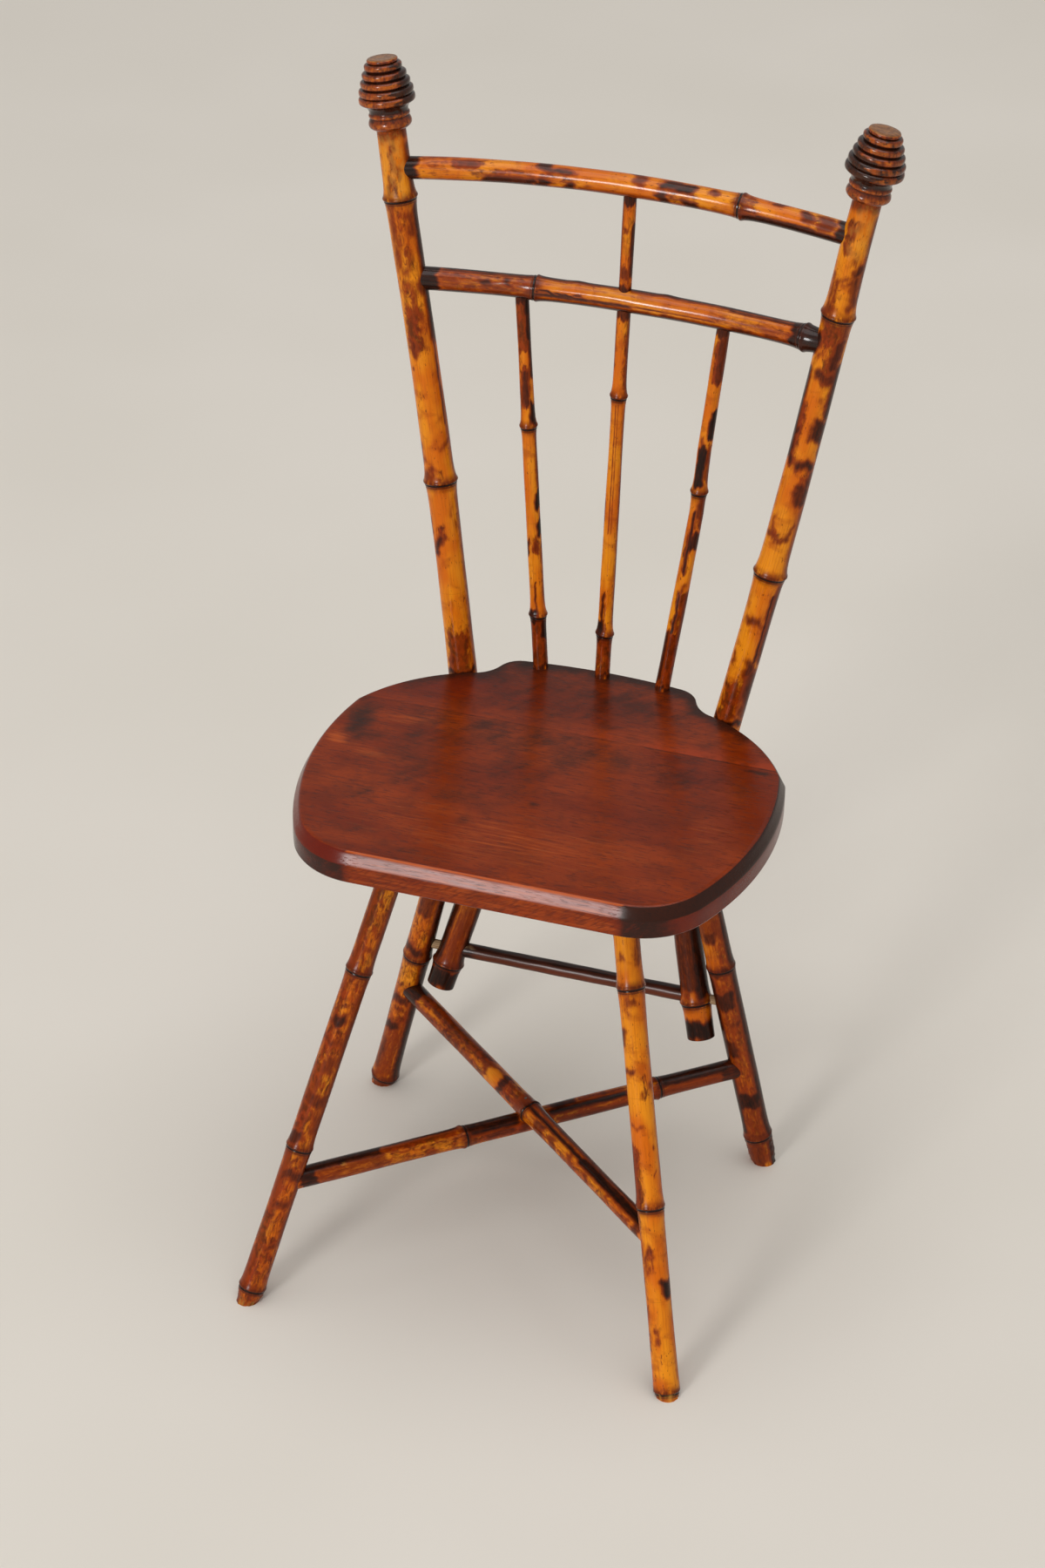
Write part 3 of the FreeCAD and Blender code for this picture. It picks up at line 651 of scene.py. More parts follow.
def seat_finish():
    material, wire = blank("seat_boards")
    paint = wire.attribute("paint", "Color")
    dark, blush, wear = (paint.split(k) for k in range(3))
    place = place_mm(wire)
    turned = place.node("ShaderNodeVectorRotate", {"rotation_type": "Z_AXIS"}, {0: place, "Angle": math.radians(-48)})
    figure = place.stretched(0.35, 1, 1).cloud(0.022, 4, 0.55, 0.5)
    line = place.stretched(0.07, 1, 1).cloud(0.36, 3, 0.6)
    pore = place.stretched(0.14, 1, 1).cloud(0.85, 2, 0.5)
    smoke = place.cloud(0.032, 5, 0.62)
    streak = turned.stretched(0.25, 1, 1).cloud(0.10, 4, 0.6, 0.3)
    grime = place.stretched(0.6, 1, 1).cloud(0.14, 4, 0.6, 0.5)
    colour = figure.step(0.30, 0.70).blend(shown(107, 31, 2), shown(134, 48, 4))
    colour = (smoke.step(0.46, 0.68) * 0.40).blend(colour, shown(84, 28, 7))
    colour = (line.step(0.45, 0.72) * 0.42).blend(colour, shown(84, 26, 6))
    colour = (pore.step(0.54, 0.66) * 0.50).blend(colour, shown(60, 19, 6))
    colour = (grime.step(0.54, 0.72) * 0.32).blend(colour, shown(72, 24, 7))
    red = (blush + (smoke - 0.5) * 0.5 * blush.step(0.0, 0.2)).step(0.15, 0.85)
    colour = (red * 0.85).blend(colour, shown(92, 20, 8))
    mask = dark.step(0.0, 0.25)
    shade = dark + (smoke - 0.5) * 0.8 * mask + (streak - 0.5) * 0.8 * mask + (grime - 0.5) * 0.4 * mask
    shade = shade.step(0.08, 0.95)
    colour = (shade * 0.9).blend(colour, shown(34, 19, 12))
    pale = (wear + (line - 0.5) * 1.1 * wear.step(0.0, 0.2)).step(0.2, 0.8)
    colour = (pale * 0.7).blend(colour, shown(184, 82, 22))
    way = wire.node("ShaderNodeTexCoord", {}, {}, "Normal")
    fore, lift, side = way.split_place(1), way.split_place(2), place.split_place(0)
    front_face = fore.step(-0.90, -0.98)
    chamfer = lift.step(0.22, 0.36) * lift.step(0.80, 0.66) * fore.step(-0.5, -0.7)
    chamfer = chamfer * abs(side).step(FRONT_HALF - 1.0, FRONT_HALF - 12.0)
    slant = place.node("ShaderNodeVectorRotate", {"rotation_type": "Y_AXIS"}, {0: place, "Angle": math.radians(32)})
    dash = slant.stretched(0.16, 1, 1).cloud(0.55, 2, 0.5)
    colour = (front_face * dash.step(0.48, 0.64) * 0.6).blend(colour, shown(82, 26, 8))
    # Pale streaks on the front chamfer are scrapes and a painted highlight together.
    scrape = place.stretched(0.035, 1, 1).cloud(0.75, 3, 0.6)
    colour = (chamfer * scrape.step(0.46, 0.66) * 0.50).blend(colour, shown(186, 104, 70))
    behind = place.split_place(1) - (SEAM + SEAT_FRONT)
    glow = lift.step(0.90, 0.98) * behind.step(0.0, 1.5) * behind.step(22.0, 2.0) * smoke.step(0.36, 0.56)
    glow = glow * (0.25 + 0.75 * side.step(-10.0, 60.0))
    colour = (glow * 0.55).blend(colour, shown(164, 56, 14))
    joint = abs(behind).step(1.4, 0.3) * (0.30 + 0.5 * side.step(40.0, 150.0)) * (0.4 + 0.6 * grime.step(0.4, 0.6))
    colour = joint.blend(colour, shown(52, 18, 8))
    rough = 0.12 + 0.12 * smoke + 0.10 * line + 0.25 * chamfer * scrape
    height = 0.6 * chamfer * scrape + 0.7 * line - 0.7 * pore.step(0.58, 0.70) + 0.5 * grime
    finish(colour, rough, bump(height, 0.20, 0.0006), coat=0.22 * chamfer, coat_rough=0.28, specular=0.22)
    return material


def tie_finish():
    material, wire = blank("dark_rod")
    paint = wire.attribute("paint", "Color")
    blush, wear = paint.split(1), paint.split(2)
    grain = wire.attribute("grain", "Vector")
    streak = grain.stretched(1, 1, 0.08).cloud(0.6, 3, 0.6)
    edge = grain.cloud(0.35, 4, 0.6)
    colour = streak.step(0.38, 0.68).blend(shown(32, 16, 11), shown(62, 27, 16))
    colour = (blush * 0.8).blend(colour, shown(118, 52, 24))
    pale = (wear + (edge - 0.5) * 0.9).step(0.3, 0.7)
    colour = pale.blend(colour, streak.step(0.3, 0.7).blend(shown(168, 140, 104), shown(112, 78, 48)))
    rough = 0.30 + 0.45 * pale
    finish(colour, rough, bump(streak, 0.15, 0.0003), specular=0.32)
    return material


def hidden_hardwood():
    material, wire = blank("bare_hardwood")
    place = place_mm(wire)
    line = place.stretched(1, 1, 0.08).cloud(0.6, 3, 0.6)
    colour = line.step(0.3, 0.7).blend(shown(190, 152, 102), shown(150, 110, 68))
    finish(colour, 0.55 + 0.15 * line, bump(line, 0.15, 0.0003))
    return material


def darkened_steel():
    material, wire = blank("darkened_steel")
    place = place_mm(wire)
    tarnish = place.cloud(0.9, 4, 0.6)
    colour = tarnish.step(0.35, 0.7).blend(shown(150, 144, 136), shown(84, 72, 60))
    finish(colour, 0.32 + 0.25 * tarnish, bump(tarnish, 0.1, 0.0002), metal=1.0)
    return material


BAMBOO = bamboo_finish()
TURNED = turned_finish()
SEAT_WOOD = seat_finish()
DARK_ROD = tie_finish()
HARDWOOD = hidden_hardwood()
STEEL = darkened_steel()


# Flame marks, painted shade and rings of each piece

# A mark says from, to along the stem; from, to around it in degrees, with 0 towards the camera; strength.
# A halo gives its middle along and around, its half length and its half turn instead.
# Long bands at about 30 to 130 degrees, on the right side of upright culms and under the rails, are scorch and
# painted shade together: that side faces away from the light.
MARKS = {
    "left_post": dict(
        scorch_and_shade=[(0, 20, -180, 180, 1.0), (20, 108, -180, -30, 0.78), (20, 130, -32, 40, 0.48),
            (20, 108, 36, 180, 0.85), (104, 128, -180, 180, 0.55), (120, 150, -180, 180, 0.3),
            # (303, 309) all round is a painted shadow where the post meets the seat.
            (24, 120, -110, -30, 0.9), (24, 120, 60, 140, 0.75), (303, 309, -80, 80, 0.85),
            (312, 324, -46, -16, 0.7), (326, 336, -20, 10, 0.55), (414, 424, -75, -44, 0.8),
            (420, 430, -58, -16, 0.8), (426, 433, -26, 4, 0.5), (308, 470, 56, 120, 0.5), (476, 560, 60, 120, 0.5),
            (478, 488, -80, -30, 0.6), (486, 494, -50, -14, 0.5), (576, 580, -60, -46, 0.6),
            # (608, 656, 48, 80) is a painted shadow below where the mid rail meets the post.
            (588, 606, -58, -26, 0.62), (525, 612, 48, 60, 0.8), (600, 716, 40, 120, 0.85), (608, 656, 48, 80, 1.0),
            (640, 660, 24, 60, 0.7), (660, 716, -70, -30, 0.45), (690, 712, 0, 50, 0.5), (724, 742, -50, -24, 0.65),
            (738, 752, -10, 16, 0.5), (750, 775, -20, 6, 0.45), (722, 768, 40, 120, 0.6),
            (770, 780, -180, 180, 0.55)],
        halo=[(370, 60, 13, 26, 0.4), (450, 55, 12, 28, 0.4), (521, 28, 12, 35, 0.6), (480, -58, 17, 50, 0.55),
            (640, -30, 11, 30, 0.5), (672, -34, 13, 30, 0.45), (610, -10, 14, 34, 0.4)],
        blush=[(20, 82, -30, 60, 0.6), (305, 345, -60, 36, 0.9), (345, 360, -40, -10, 0.5), (426, 440, -50, 0, 0.6),
            (478, 492, -60, 10, 0.5), (590, 632, -66, 16, 0.8), (628, 716, -66, 34, 0.42), (726, 770, -30, 0, 0.55),
            (310, 470, 50, 110, 0.5)],
        wear=[(724, 775, -70, 34, 0.4)]),
    "right_post": dict(
        scorch_and_shade=[(0, 18, -180, 180, 1.0), (44, 108, -180, 180, 0.72), (38, 112, 0, 120, 0.95),
            (104, 128, -180, 180, 0.55), (120, 150, -180, 180, 0.3), (38, 100, -90, -50, 0.6),
            # (303, 309) all round is a painted shadow where the post meets the seat.
            (303, 309, -80, 80, 0.85), (310, 326, 20, 110, 0.6), (322, 358, 26, 110, 0.7), (350, 368, 0, 44, 0.7),
            (358, 372, -70, -46, 0.5), (365, 440, 44, 120, 0.66), (365, 432, 33, 46, 0.9),
            (398, 406, -50, 24, 0.65), (440, 545, 52, 120, 0.5), (478, 486, -70, -20, 0.55),
            (510, 532, 4, 80, 0.72), (528, 546, 40, 90, 0.7), (544, 553, -30, 66, 0.85), (548, 560, -70, -36, 0.8),
            (556, 584, -66, -40, 0.75), (570, 592, 2, 90, 0.82), (550, 634, -92, -54, 0.95),
            (592, 640, 42, 120, 0.85), (604, 612, 0, 30, 0.35), (622, 633, -40, 60, 0.68), (634, 662, 10, 60, 0.74),
            (643, 662, -95, -46, 1.0), (660, 676, 20, 70, 0.55), (680, 690, -60, -20, 0.6),
            (676, 716, -70, -44, 0.5), (690, 770, 52, 120, 0.6), (686, 716, 20, 62, 0.62), (714, 726, 20, 66, 0.75),
            (724, 732, -10, 20, 0.45), (736, 742, -50, -24, 0.6), (748, 760, -30, 6, 0.5),
            (770, 780, -180, 180, 0.55)],
        halo=[(495, 0, 14, 44, 0.62), (722, 0, 13, 34, 0.5), (700, 6, 14, 44, 0.5), (637, -22, 9, 26, 0.45),
            (420, -6, 16, 40, 0.3)],
        blush=[(36, 102, -60, -18, 0.7), (305, 345, -60, 20, 0.85), (325, 362, 5, 80, 0.85),
            (365, 440, 38, 90, 0.7), (478, 490, -56, 6, 0.6), (512, 545, 0, 80, 0.55), (546, 604, -66, -26, 0.8),
            (600, 640, 36, 90, 0.6), (620, 668, -10, 60, 0.8), (652, 677, -54, 34, 0.8), (684, 716, -50, -10, 0.5),
            (734, 764, -54, -12, 0.75)],
        wear=[(730, 775, -30, 60, 0.3)]),
    "crest_rail": dict(
        scorch_and_shade=[(0, 19, -180, 180, 1.0), (20, 50, -80, -50, 0.45), (20, 286, 60, 112, 0.6), (50, 70, -60, -10, 0.6),
            (70, 116, 22, 120, 0.82), (116, 129, -85, -26, 0.85), (116, 128, 18, 100, 0.85),
            (118, 146, -46, -14, 0.8), (139, 149, 24, 100, 0.85), (150, 216, 46, 130, 0.55),
            (155, 166, 34, 80, 0.45), (194, 205, -85, -10, 0.6), (218, 248, -64, -4, 0.9), (216, 226, 4, 100, 0.88),
            (236, 250, 20, 100, 0.88), (250, 283, 50, 130, 0.5), (258, 268, -52, -18, 0.65),
            (286, 372, 30, 112, 0.97), (298, 352, 24, 44, 0.9), (312, 324, -85, -48, 0.75), (337, 347, -60, 6, 0.7),
            (352, 366, -64, 20, 0.6), (368, 390, -180, 180, 0.95)],
        blush=[(22, 48, -60, 50, 0.35), (46, 74, -60, 0, 0.85), (58, 116, -14, 44, 0.55), (116, 150, -60, 60, 0.4),
            (194, 206, -80, 4, 0.7), (214, 252, -70, 80, 0.5), (258, 269, -46, -20, 0.8), (280, 300, -70, 50, 0.6),
            (296, 374, 36, 110, 0.8), (336, 350, -50, 6, 0.8), (350, 366, -66, 24, 0.85)]),
    "mid_rail": dict(
        # The long bands along the top, from about -104 to -44 degrees, are a painted dark reflection; the band along
        # the underside, 52 to 112 degrees, is scorch and painted shade.
        scorch_and_shade=[(0, 24, -180, 180, 1.0), (24, 326, -104, -54, 1.0), (24, 326, -58, -44, 0.55),
            (24, 326, -180, 180, 0.14), (110, 300, -22, -19, 0.55), (120, 240, -6, -3, 0.45), (160, 320, 6, 9, 0.5),
            (40, 100, -10, -7, 0.5), (25, 102, -56, -42, 0.8), (24, 40, -30, 60, 0.4), (56, 68, -26, 26, 0.75),
            (66, 74, 0, 40, 0.5), (77, 83, -36, 16, 0.75), (92, 102, 10, 80, 0.6), (103, 144, 10, 22, 0.98),
            (103, 184, 24, 42, 0.9), (150, 256, 24, 34, 0.65), (60, 102, 36, 60, 0.6), (24, 326, 52, 112, 0.96),
            (150, 250, 44, 60, 0.5), (205, 215, 40, 80, 0.7), (268, 290, 30, 80, 0.75), (268, 326, -50, -36, 0.85),
            (290, 312, 0, 30, 0.4), (300, 326, 26, 60, 0.6), (322, 360, -180, 180, 1.0)],
        blush=[(24, 104, -60, 70, 0.55), (103, 180, -60, -30, 0.3), (100, 330, 40, 90, 0.6),
            (180, 328, -66, -26, 0.3), (250, 326, -20, 36, 0.45)]),
    "left_spindle": dict(
        scorch_and_shade=[(0, 5, -180, 180, 0.8), (26, 46, 14, 100, 0.95), (42, 56, -90, -8, 1.0), (50, 78, -20, -4, 0.8),
            (60, 100, 50, 120, 0.4), (104, 118, -80, -44, 0.8), (106, 118, -14, 40, 0.6), (121, 136, 18, 100, 1.0),
            (145, 162, 18, 100, 1.0), (160, 216, 44, 120, 0.6), (219, 240, 10, 80, 0.95), (236, 268, -40, 26, 0.75),
            (240, 250, -90, -30, 0.6), (262, 330, 30, 100, 0.8), (294, 332, 10, 90, 0.92),
            (324, 344, -180, 180, 0.8)],
        blush=[(0, 47, -180, 180, 0.95), (60, 216, 40, 110, 0.55), (104, 122, -24, 44, 0.8),
            (236, 272, -56, 28, 0.85), (284, 334, -70, 44, 0.9), (219, 290, -90, -40, 0.5)]),
    "centre_spindle": dict(
        scorch_and_shade=[(0, 5, -180, 180, 0.8), (34, 54, -90, -16, 1.0), (50, 78, -48, -20, 0.88), (42, 68, -10, -2, 0.75),
            (134, 248, -24, -16, 0.7), (134, 248, -4, 3, 0.62), (48, 248, 54, 130, 0.5), (258, 324, 42, 120, 0.6),
            (280, 324, -90, -56, 0.5), (322, 342, -180, 180, 0.75)],
        blush=[(0, 40, -180, 180, 0.75), (48, 248, 44, 110, 0.45), (262, 324, 14, 80, 0.6),
            (60, 80, -70, -30, 0.4)]),
    "right_spindle": dict(
        scorch_and_shade=[(0, 5, -180, 180, 0.8), (8, 56, -95, -24, 0.8), (54, 94, -24, 0, 0.92), (46, 94, 30, 110, 0.6),
            (94, 104, -10, 30, 0.5), (112, 170, -26, -2, 0.95), (133, 150, -14, 100, 0.85), (160, 186, 0, 110, 0.6),
            (190, 228, -60, 22, 1.0), (196, 226, 18, 110, 0.5), (234, 262, 6, 80, 1.0), (226, 236, -50, -10, 0.5),
            (284, 326, -20, 80, 0.62), (324, 344, -180, 180, 0.8)],
        blush=[(0, 56, -180, 180, 0.85), (56, 96, -40, 100, 0.7), (112, 152, -46, 10, 0.8), (152, 186, 10, 90, 0.6),
            (212, 232, 10, 70, 0.8), (284, 324, -50, 80, 0.85)]),
    "upper_spindle": dict(
        scorch_and_shade=[(0, 14, -180, 180, 0.8), (18, 30, -60, 20, 0.6), (20, 66, 22, 110, 0.8), (58, 64, -60, 10, 0.5),
            (82, 100, -180, 180, 0.85), (14, 90, -120, -50, 0.5)],
        blush=[(0, 100, -180, 180, 0.34)]),
    "front_left_leg": dict(
        scorch_and_shade=[(0, 4, -180, 180, 0.7), (8, 50, -80, -40, 0.5), (52, 58, -20, 46, 0.65), (56, 400, 46, 120, 0.55),
            (91, 99, -50, 40, 0.65), (100, 146, -70, -20, 0.45), (118, 129, -46, 90, 0.72), (130, 146, 20, 60, 0.4),
            (150, 164, -80, 0, 0.8), (164, 200, 10, 80, 0.45), (188, 202, -60, 70, 0.6), (205, 216, -40, -6, 0.6),
            (220, 238, -20, 46, 0.55), (224, 300, 40, 110, 0.6), (246, 253, -90, 40, 0.6),
            (263, 275, -50, 24, 0.86), (296, 312, -80, -30, 0.4), (316, 340, -50, -20, 0.5), (330, 336, 0, 50, 0.5),
            (340, 390, -70, -40, 0.55)],
        blush=[(0, 400, -180, 180, 0.50), (15, 146, -70, -10, 0.95), (150, 228, -70, 0, 0.95),
            (226, 312, -60, -18, 0.7), (314, 390, -70, -4, 0.85), (40, 130, -10, 40, 0.5), (330, 390, 10, 80, 0.5)],
        wear=[(0, 3, -40, 40, 0.6)]),
    "front_right_leg": dict(
        scorch_and_shade=[(8, 390, 62, 120, 0.36), (46, 52, -42, -14, 0.55), (55, 61, -38, -10, 0.55),
            (66, 74, -80, -56, 0.45), (85, 101, 12, 80, 1.0), (104, 110, -46, -20, 0.4), (163, 212, -90, -56, 0.5),
            (229, 233, -70, 0, 0.5), (252, 260, 4, 22, 0.45), (258, 268, 40, 90, 0.45), (275, 280, -90, -20, 0.65),
            (298, 314, -90, -50, 0.7), (329, 337, -34, 30, 0.5), (366, 374, -48, -18, 0.5),
            (364, 388, 22, 100, 0.45), (186, 192, 35, 43, 0.6), (207, 212, 34, 44, 0.65)],
        halo=[(115, -30, 9, 20, 0.62), (330, 0, 9, 34, 0.4)],
        blush=[(104, 128, -50, -10, 0.6), (163, 214, -90, -30, 0.9), (36, 156, -90, -52, 0.5),
            (250, 274, 0, 44, 0.4), (46, 64, -44, -6, 0.4)],
        wear=[(0, 3, -40, 40, 0.6)]),
    "rear_left_leg": dict(
        scorch_and_shade=[(0, 420, 28, 130, 0.88), (0, 14, -180, 180, 0.6), (14, 70, -80, 30, 0.4), (68, 79, -90, 10, 0.85),
            (100, 110, -90, 24, 0.75), (160, 170, -90, 26, 0.8), (106, 126, 6, 60, 0.85), (20, 60, -80, -26, 0.6),
            (205, 230, -60, 30, 0.6), (230, 420, -180, 180, 0.6)],
        blush=[(14, 240, -180, 180, 0.42), (14, 100, -60, 40, 0.6)]),
    "rear_right_leg": dict(
        # (0, 420, -180, 180, 0.25) is painted shade over the whole leg, which stands under the seat.
        scorch_and_shade=[(0, 26, -90, 14, 0.6), (0, 420, 30, 130, 0.85), (0, 420, -180, 180, 0.25), (30, 36, -90, 60, 0.6),
            (62, 80, -70, 50, 0.88), (100, 112, -60, -20, 0.5), (118, 138, -70, 0, 0.78), (150, 158, -30, 40, 0.6),
            (168, 188, -70, 34, 0.82), (36, 205, -130, -46, 0.88), (203, 212, -90, 90, 0.85),
            (236, 250, -60, 20, 0.7), (240, 420, -180, 180, 0.5)],
        blush=[(0, 206, -180, 180, 0.6), (212, 262, -20, 80, 0.6)]),
    "low_stretcher": dict(
        scorch_and_shade=[(8, 24, -180, 180, 0.9), (18, 84, -120, -10, 0.95), (24, 84, -180, 180, 0.42),
            (70, 86, -30, 60, 0.55), (84, 156, -130, -46, 0.85), (120, 134, 30, 90, 0.5),
            (158, 208, -130, 14, 0.92), (176, 206, 10, 60, 0.7), (236, 310, -30, 8, 1.0),
            (236, 262, -130, -20, 0.85), (240, 338, 30, 120, 0.6), (338, 404, -130, 12, 0.94),
            (340, 404, 14, 120, 0.5), (398, 430, -180, 180, 0.8)],
        blush=[(0, 430, -180, 180, 0.45), (80, 152, -50, -8, 0.85), (160, 240, -20, 80, 0.8),
            (262, 310, -66, -24, 0.8), (240, 338, 8, 90, 0.75), (340, 412, 0, 90, 0.75)],
        wear=[(47, 51, -14, -4, 0.7)]),
    "high_stretcher": dict(
        scorch_and_shade=[(8, 20, -180, 180, 0.7), (12, 112, -12, 48, 1.0), (100, 200, 4, 34, 1.0), (20, 200, 40, 140, 0.7),
            (24, 32, -90, -20, 0.5), (60, 66, -90, -10, 0.45), (91, 99, -90, -8, 0.55), (116, 124, -90, -2, 0.5),
            (142, 154, -90, 0, 0.6), (162, 178, -90, 2, 0.62), (196, 212, -90, 90, 0.5), (232, 242, -90, 60, 0.8),
            (262, 268, -60, 10, 0.5), (290, 298, -90, 20, 0.45), (308, 316, -80, -20, 0.6),
            (350, 384, -70, -36, 0.6), (382, 420, -180, 180, 0.9), (370, 384, 0, 60, 0.6)],
        halo=[(252, 0, 14, 46, 0.6)],
        blush=[(20, 196, -110, -12, 0.5), (200, 242, -60, 60, 0.75), (262, 394, -16, 70, 0.85),
            (262, 394, -100, -12, 0.6), (20, 200, 30, 140, 0.6)]),
    "left_finial": dict(
        scorch_and_shade=[(22, 58, 26, 110, 0.85), (24, 38, 14, 90, 1.0), (15, 23, -180, 180, 0.6), (50, 58, -30, 30, 0.4)]),
    "right_finial": dict(
        scorch_and_shade=[(20, 60, -180, 180, 0.34), (21, 44, -130, 4, 0.95), (30, 58, -130, -30, 0.7), (21, 40, 0, 60, 0.5),
            (15, 23, -180, 180, 0.6), (24, 58, 50, 120, 0.55)]),
}

# How far up its stem each ring lies
RINGS = {
    "front_left_leg": (14, 148, 313),
    "front_right_leg": (4, 162, 346),
    "rear_left_leg": (9, 155, 298),
    "rear_right_leg": (30, 209),
    "left_post": (23, 219, 477.5, 721),
    "right_post": (34, 202, 445, 679),
    "crest_rail": (286,),
    "mid_rail": (104, 333),
    "left_spindle": (49, 219),
    "centre_spindle": (40, 255),
    "right_spindle": (186,),
    "upper_spindle": (),
    "low_stretcher": (157, 338),
    "high_stretcher": (198,),
}


# Legs, posts, rails, spindles and stretchers

SPINDLE_KINKS = ((0, 0), (0.25, 0.6), (0.49, 1), (0.55, 0.8), (0.65, 0.4), (1, 0))
STRAIGHT_STEMS = {
    # radius, foot, tip, and a bow with its kinks
    "left_spindle": (5.85, (-53.5, 319.6, 430), (-85.5, 350.9, 766.2)),
    "centre_spindle": (5.85, (0, 322.5, 430), (0, 355.8, 766)),
    "right_spindle": (5.85, (53.5, 319.6, 430), (85.5, 350.9, 766.2), (3.6, 0, 0), SPINDLE_KINKS),
    "upper_spindle": (5.3, (0, 355.8, 766), (0, 364.2, 863)),
    "low_stretcher": (9.0, (-158.9, -21.1, 106), (154.6, 261.8, 99.5)),
    "high_stretcher": (9.0, (154.8, -15, 123.9), (-151.7, 261.4, 112.4)),
}
HANDS = (("left", -1), ("right", 1))
POST_BOW, SPINDLE_SINK = (2.9, 0, 0), 0.5

stems = {}
for row, (*_, leg_radius) in LEG_SETS.items():
    for hand, side in HANDS:
        stems[row + "_" + hand + "_leg"] = Stem(straight(*leg_ends(row, side)), leg_radius)
legs = tuple(stems)
for hand, side in HANDS:
    stems[hand + "_post"] = Stem(post_line(side, POST_BOW), POST_RADIUS)
stems["crest_rail"] = Stem(rail_line(height=857.5, bow=19.5, rise=5.5), radius=9.25)
stems["mid_rail"] = Stem(rail_line(height=767.0, bow=20.5, rise=-1.0), radius=9.5)
for name, (stem_radius, *ends) in STRAIGHT_STEMS.items():
    stems[name] = Stem(straight(*ends), stem_radius)

# Grooves: from, to along the stem; middle and half width around it in degrees; depth
SPINDLE_GROOVES = {
    "left_spindle": (48, 130, -11, 26, 0.8),
    "centre_spindle": (39, 125, -33, 26, 0.8),
    "right_spindle": (56, 170, -7, 20, 0.6),
}
MID_GROOVES = [(103, 190, 17, 7, 0.5), (103, 260, 31, 7, 0.5)]
HIGH_GROOVES = [(6, 225, 19, 22, 1.6)]
# Buds: middle along and around; half length and half width; height
MID_BUDS = [(80, -20, 9, 22, 0.9), (138, -70, 7, 20, 0.9), (212, -70, 7, 20, 0.9)]

# The number after each name is its seed.
for seed, name in enumerate(legs, 1):
    culm(name, seed, levels=(0.0, SEAT_UNDER), bores=(6.5, 0))
culm("left_post", 5, bores=(7.6, 0), sides=56, swell=2.5)
culm("right_post", 6, bores=(7.6, 0), sides=56, swell=2.5)
posts = (stems["left_post"], stems["right_post"])
culm("crest_rail", 7, carriers=posts, swell=2.1, gloss=0.25)
culm("mid_rail", 8, carriers=posts, swell=(1.7, 2.6), width=6.5, grooves=MID_GROOVES, buds=MID_BUDS, gloss=0.32)
for seed, (name, groove) in enumerate(SPINDLE_GROOVES.items(), 9):
    culm(name, seed, carriers=(None, stems["mid_rail"]), levels=(SEAT_HEIGHT - SPINDLE_SINK, None), sides=36,
         swell=2.0, width=5.0, grooves=[groove], thin=0.15)
culm("upper_spindle", 12, carriers=(stems["mid_rail"], stems["crest_rail"]), sides=32)
culm("low_stretcher", 13, carriers=(stems["front_left_leg"], stems["rear_right_leg"]), sides=40, tip=-1)
culm("high_stretcher", 14, carriers=(stems["front_right_leg"], stems["rear_left_leg"]), sides=40,
     grooves=HIGH_GROOVES)


# Seat: two boards cut from one shield-shaped outline

# Rounds of the edge after its straight front: through and to, in shares of the seat's half width and depth;
# the share of chamfer at both ends
EDGE_ARCS = [
    ((0.765, 0.038), (0.872, 0.117), 1.0, 1.0),
    ((0.998, 0.426), (0.952, 0.681), 1.0, 1.0),
    ((0.758, 0.816), (0.510, 0.893), 1.0, 0.0),
    ((0.467, 0.914), (0.441, 0.941), 0.0, 0.0),
    ((0.413, 0.968), (0.357, 0.985), 0.0, 0.0),
]


def arc_points(start, through, end, step):
    """Points along the round that passes through three points, without its first."""
    (ax, ay), (bx, by), (cx, cy) = start, through, end
    d = 2 * (ax * (by - cy) + bx * (cy - ay) + cx * (ay - by))
    ux = ((ax * ax + ay * ay) * (by - cy) + (bx * bx + by * by) * (cy - ay) + (cx * cx + cy * cy) * (ay - by)) / d
    uy = ((ax * ax + ay * ay) * (cx - bx) + (bx * bx + by * by) * (ax - cx) + (cx * cx + cy * cy) * (bx - ax)) / d
    radius = math.hypot(ax - ux, ay - uy)
    a0, a1, a2 = (math.atan2(y - uy, x - ux) for x, y in (start, through, end))
    swing = (a2 - a0) % (2 * math.pi)
    if (a1 - a0) % (2 * math.pi) > swing:
        swing -= 2 * math.pi
    count = max(3, round(abs(swing) * radius / step))
    turns = [a0 + swing * (k + 1) / count for k in range(count)]
    return [(ux + radius * math.cos(t), uy + radius * math.sin(t)) for t in turns]


def seat_outline(step=4.0):
    """The edge from the front's middle round the right to the tail's middle, with its share of chamfer."""
    count = round(FRONT_HALF / step)
    half = [(FRONT_HALF * k / count, 0.0, 1.0) for k in range(count + 1)]
    spot = (FRONT_HALF, 0.0)
    for through, end, first, last in EDGE_ARCS:
        through, end = ((SEAT_WIDTH / 2 * x, SEAT_DEPTH * y) for x, y in (through, end))
        points = arc_points(spot, through, end, step)
        half += [(*p, first + (last - first) * (k + 1) / len(points)) for k, p in enumerate(points)]
        spot = end
    tail = arc_points(spot, (0.0, SEAT_DEPTH), (-spot[0], spot[1]), step)
    half += [(*p, 0.0) for p in tail if p[0] > 0.5] + [(0.0, SEAT_DEPTH, 0.0)]
    return half


CHAMFER_FOOT, CHAMFER_RUN = 419.3, 5.5
# Levels of the edge above the underside, and loops of the underside and top as shares of the outline
EDGE_LEVELS = (0, 0.3, 1.2, 6, 11, 15.6, 16.7, 18.5, 21, 23.5, 25.3, 26.2, 26.7, SEAT_THICK)
UNDER_SHARES, TOP_SHARES = (0.04, 0.25, 0.5, 0.75), np.linspace(0.985, 0.02, 46)
SEAT_HEART = np.array((0.0, 165.0))
BOARD_GAP = 0.03


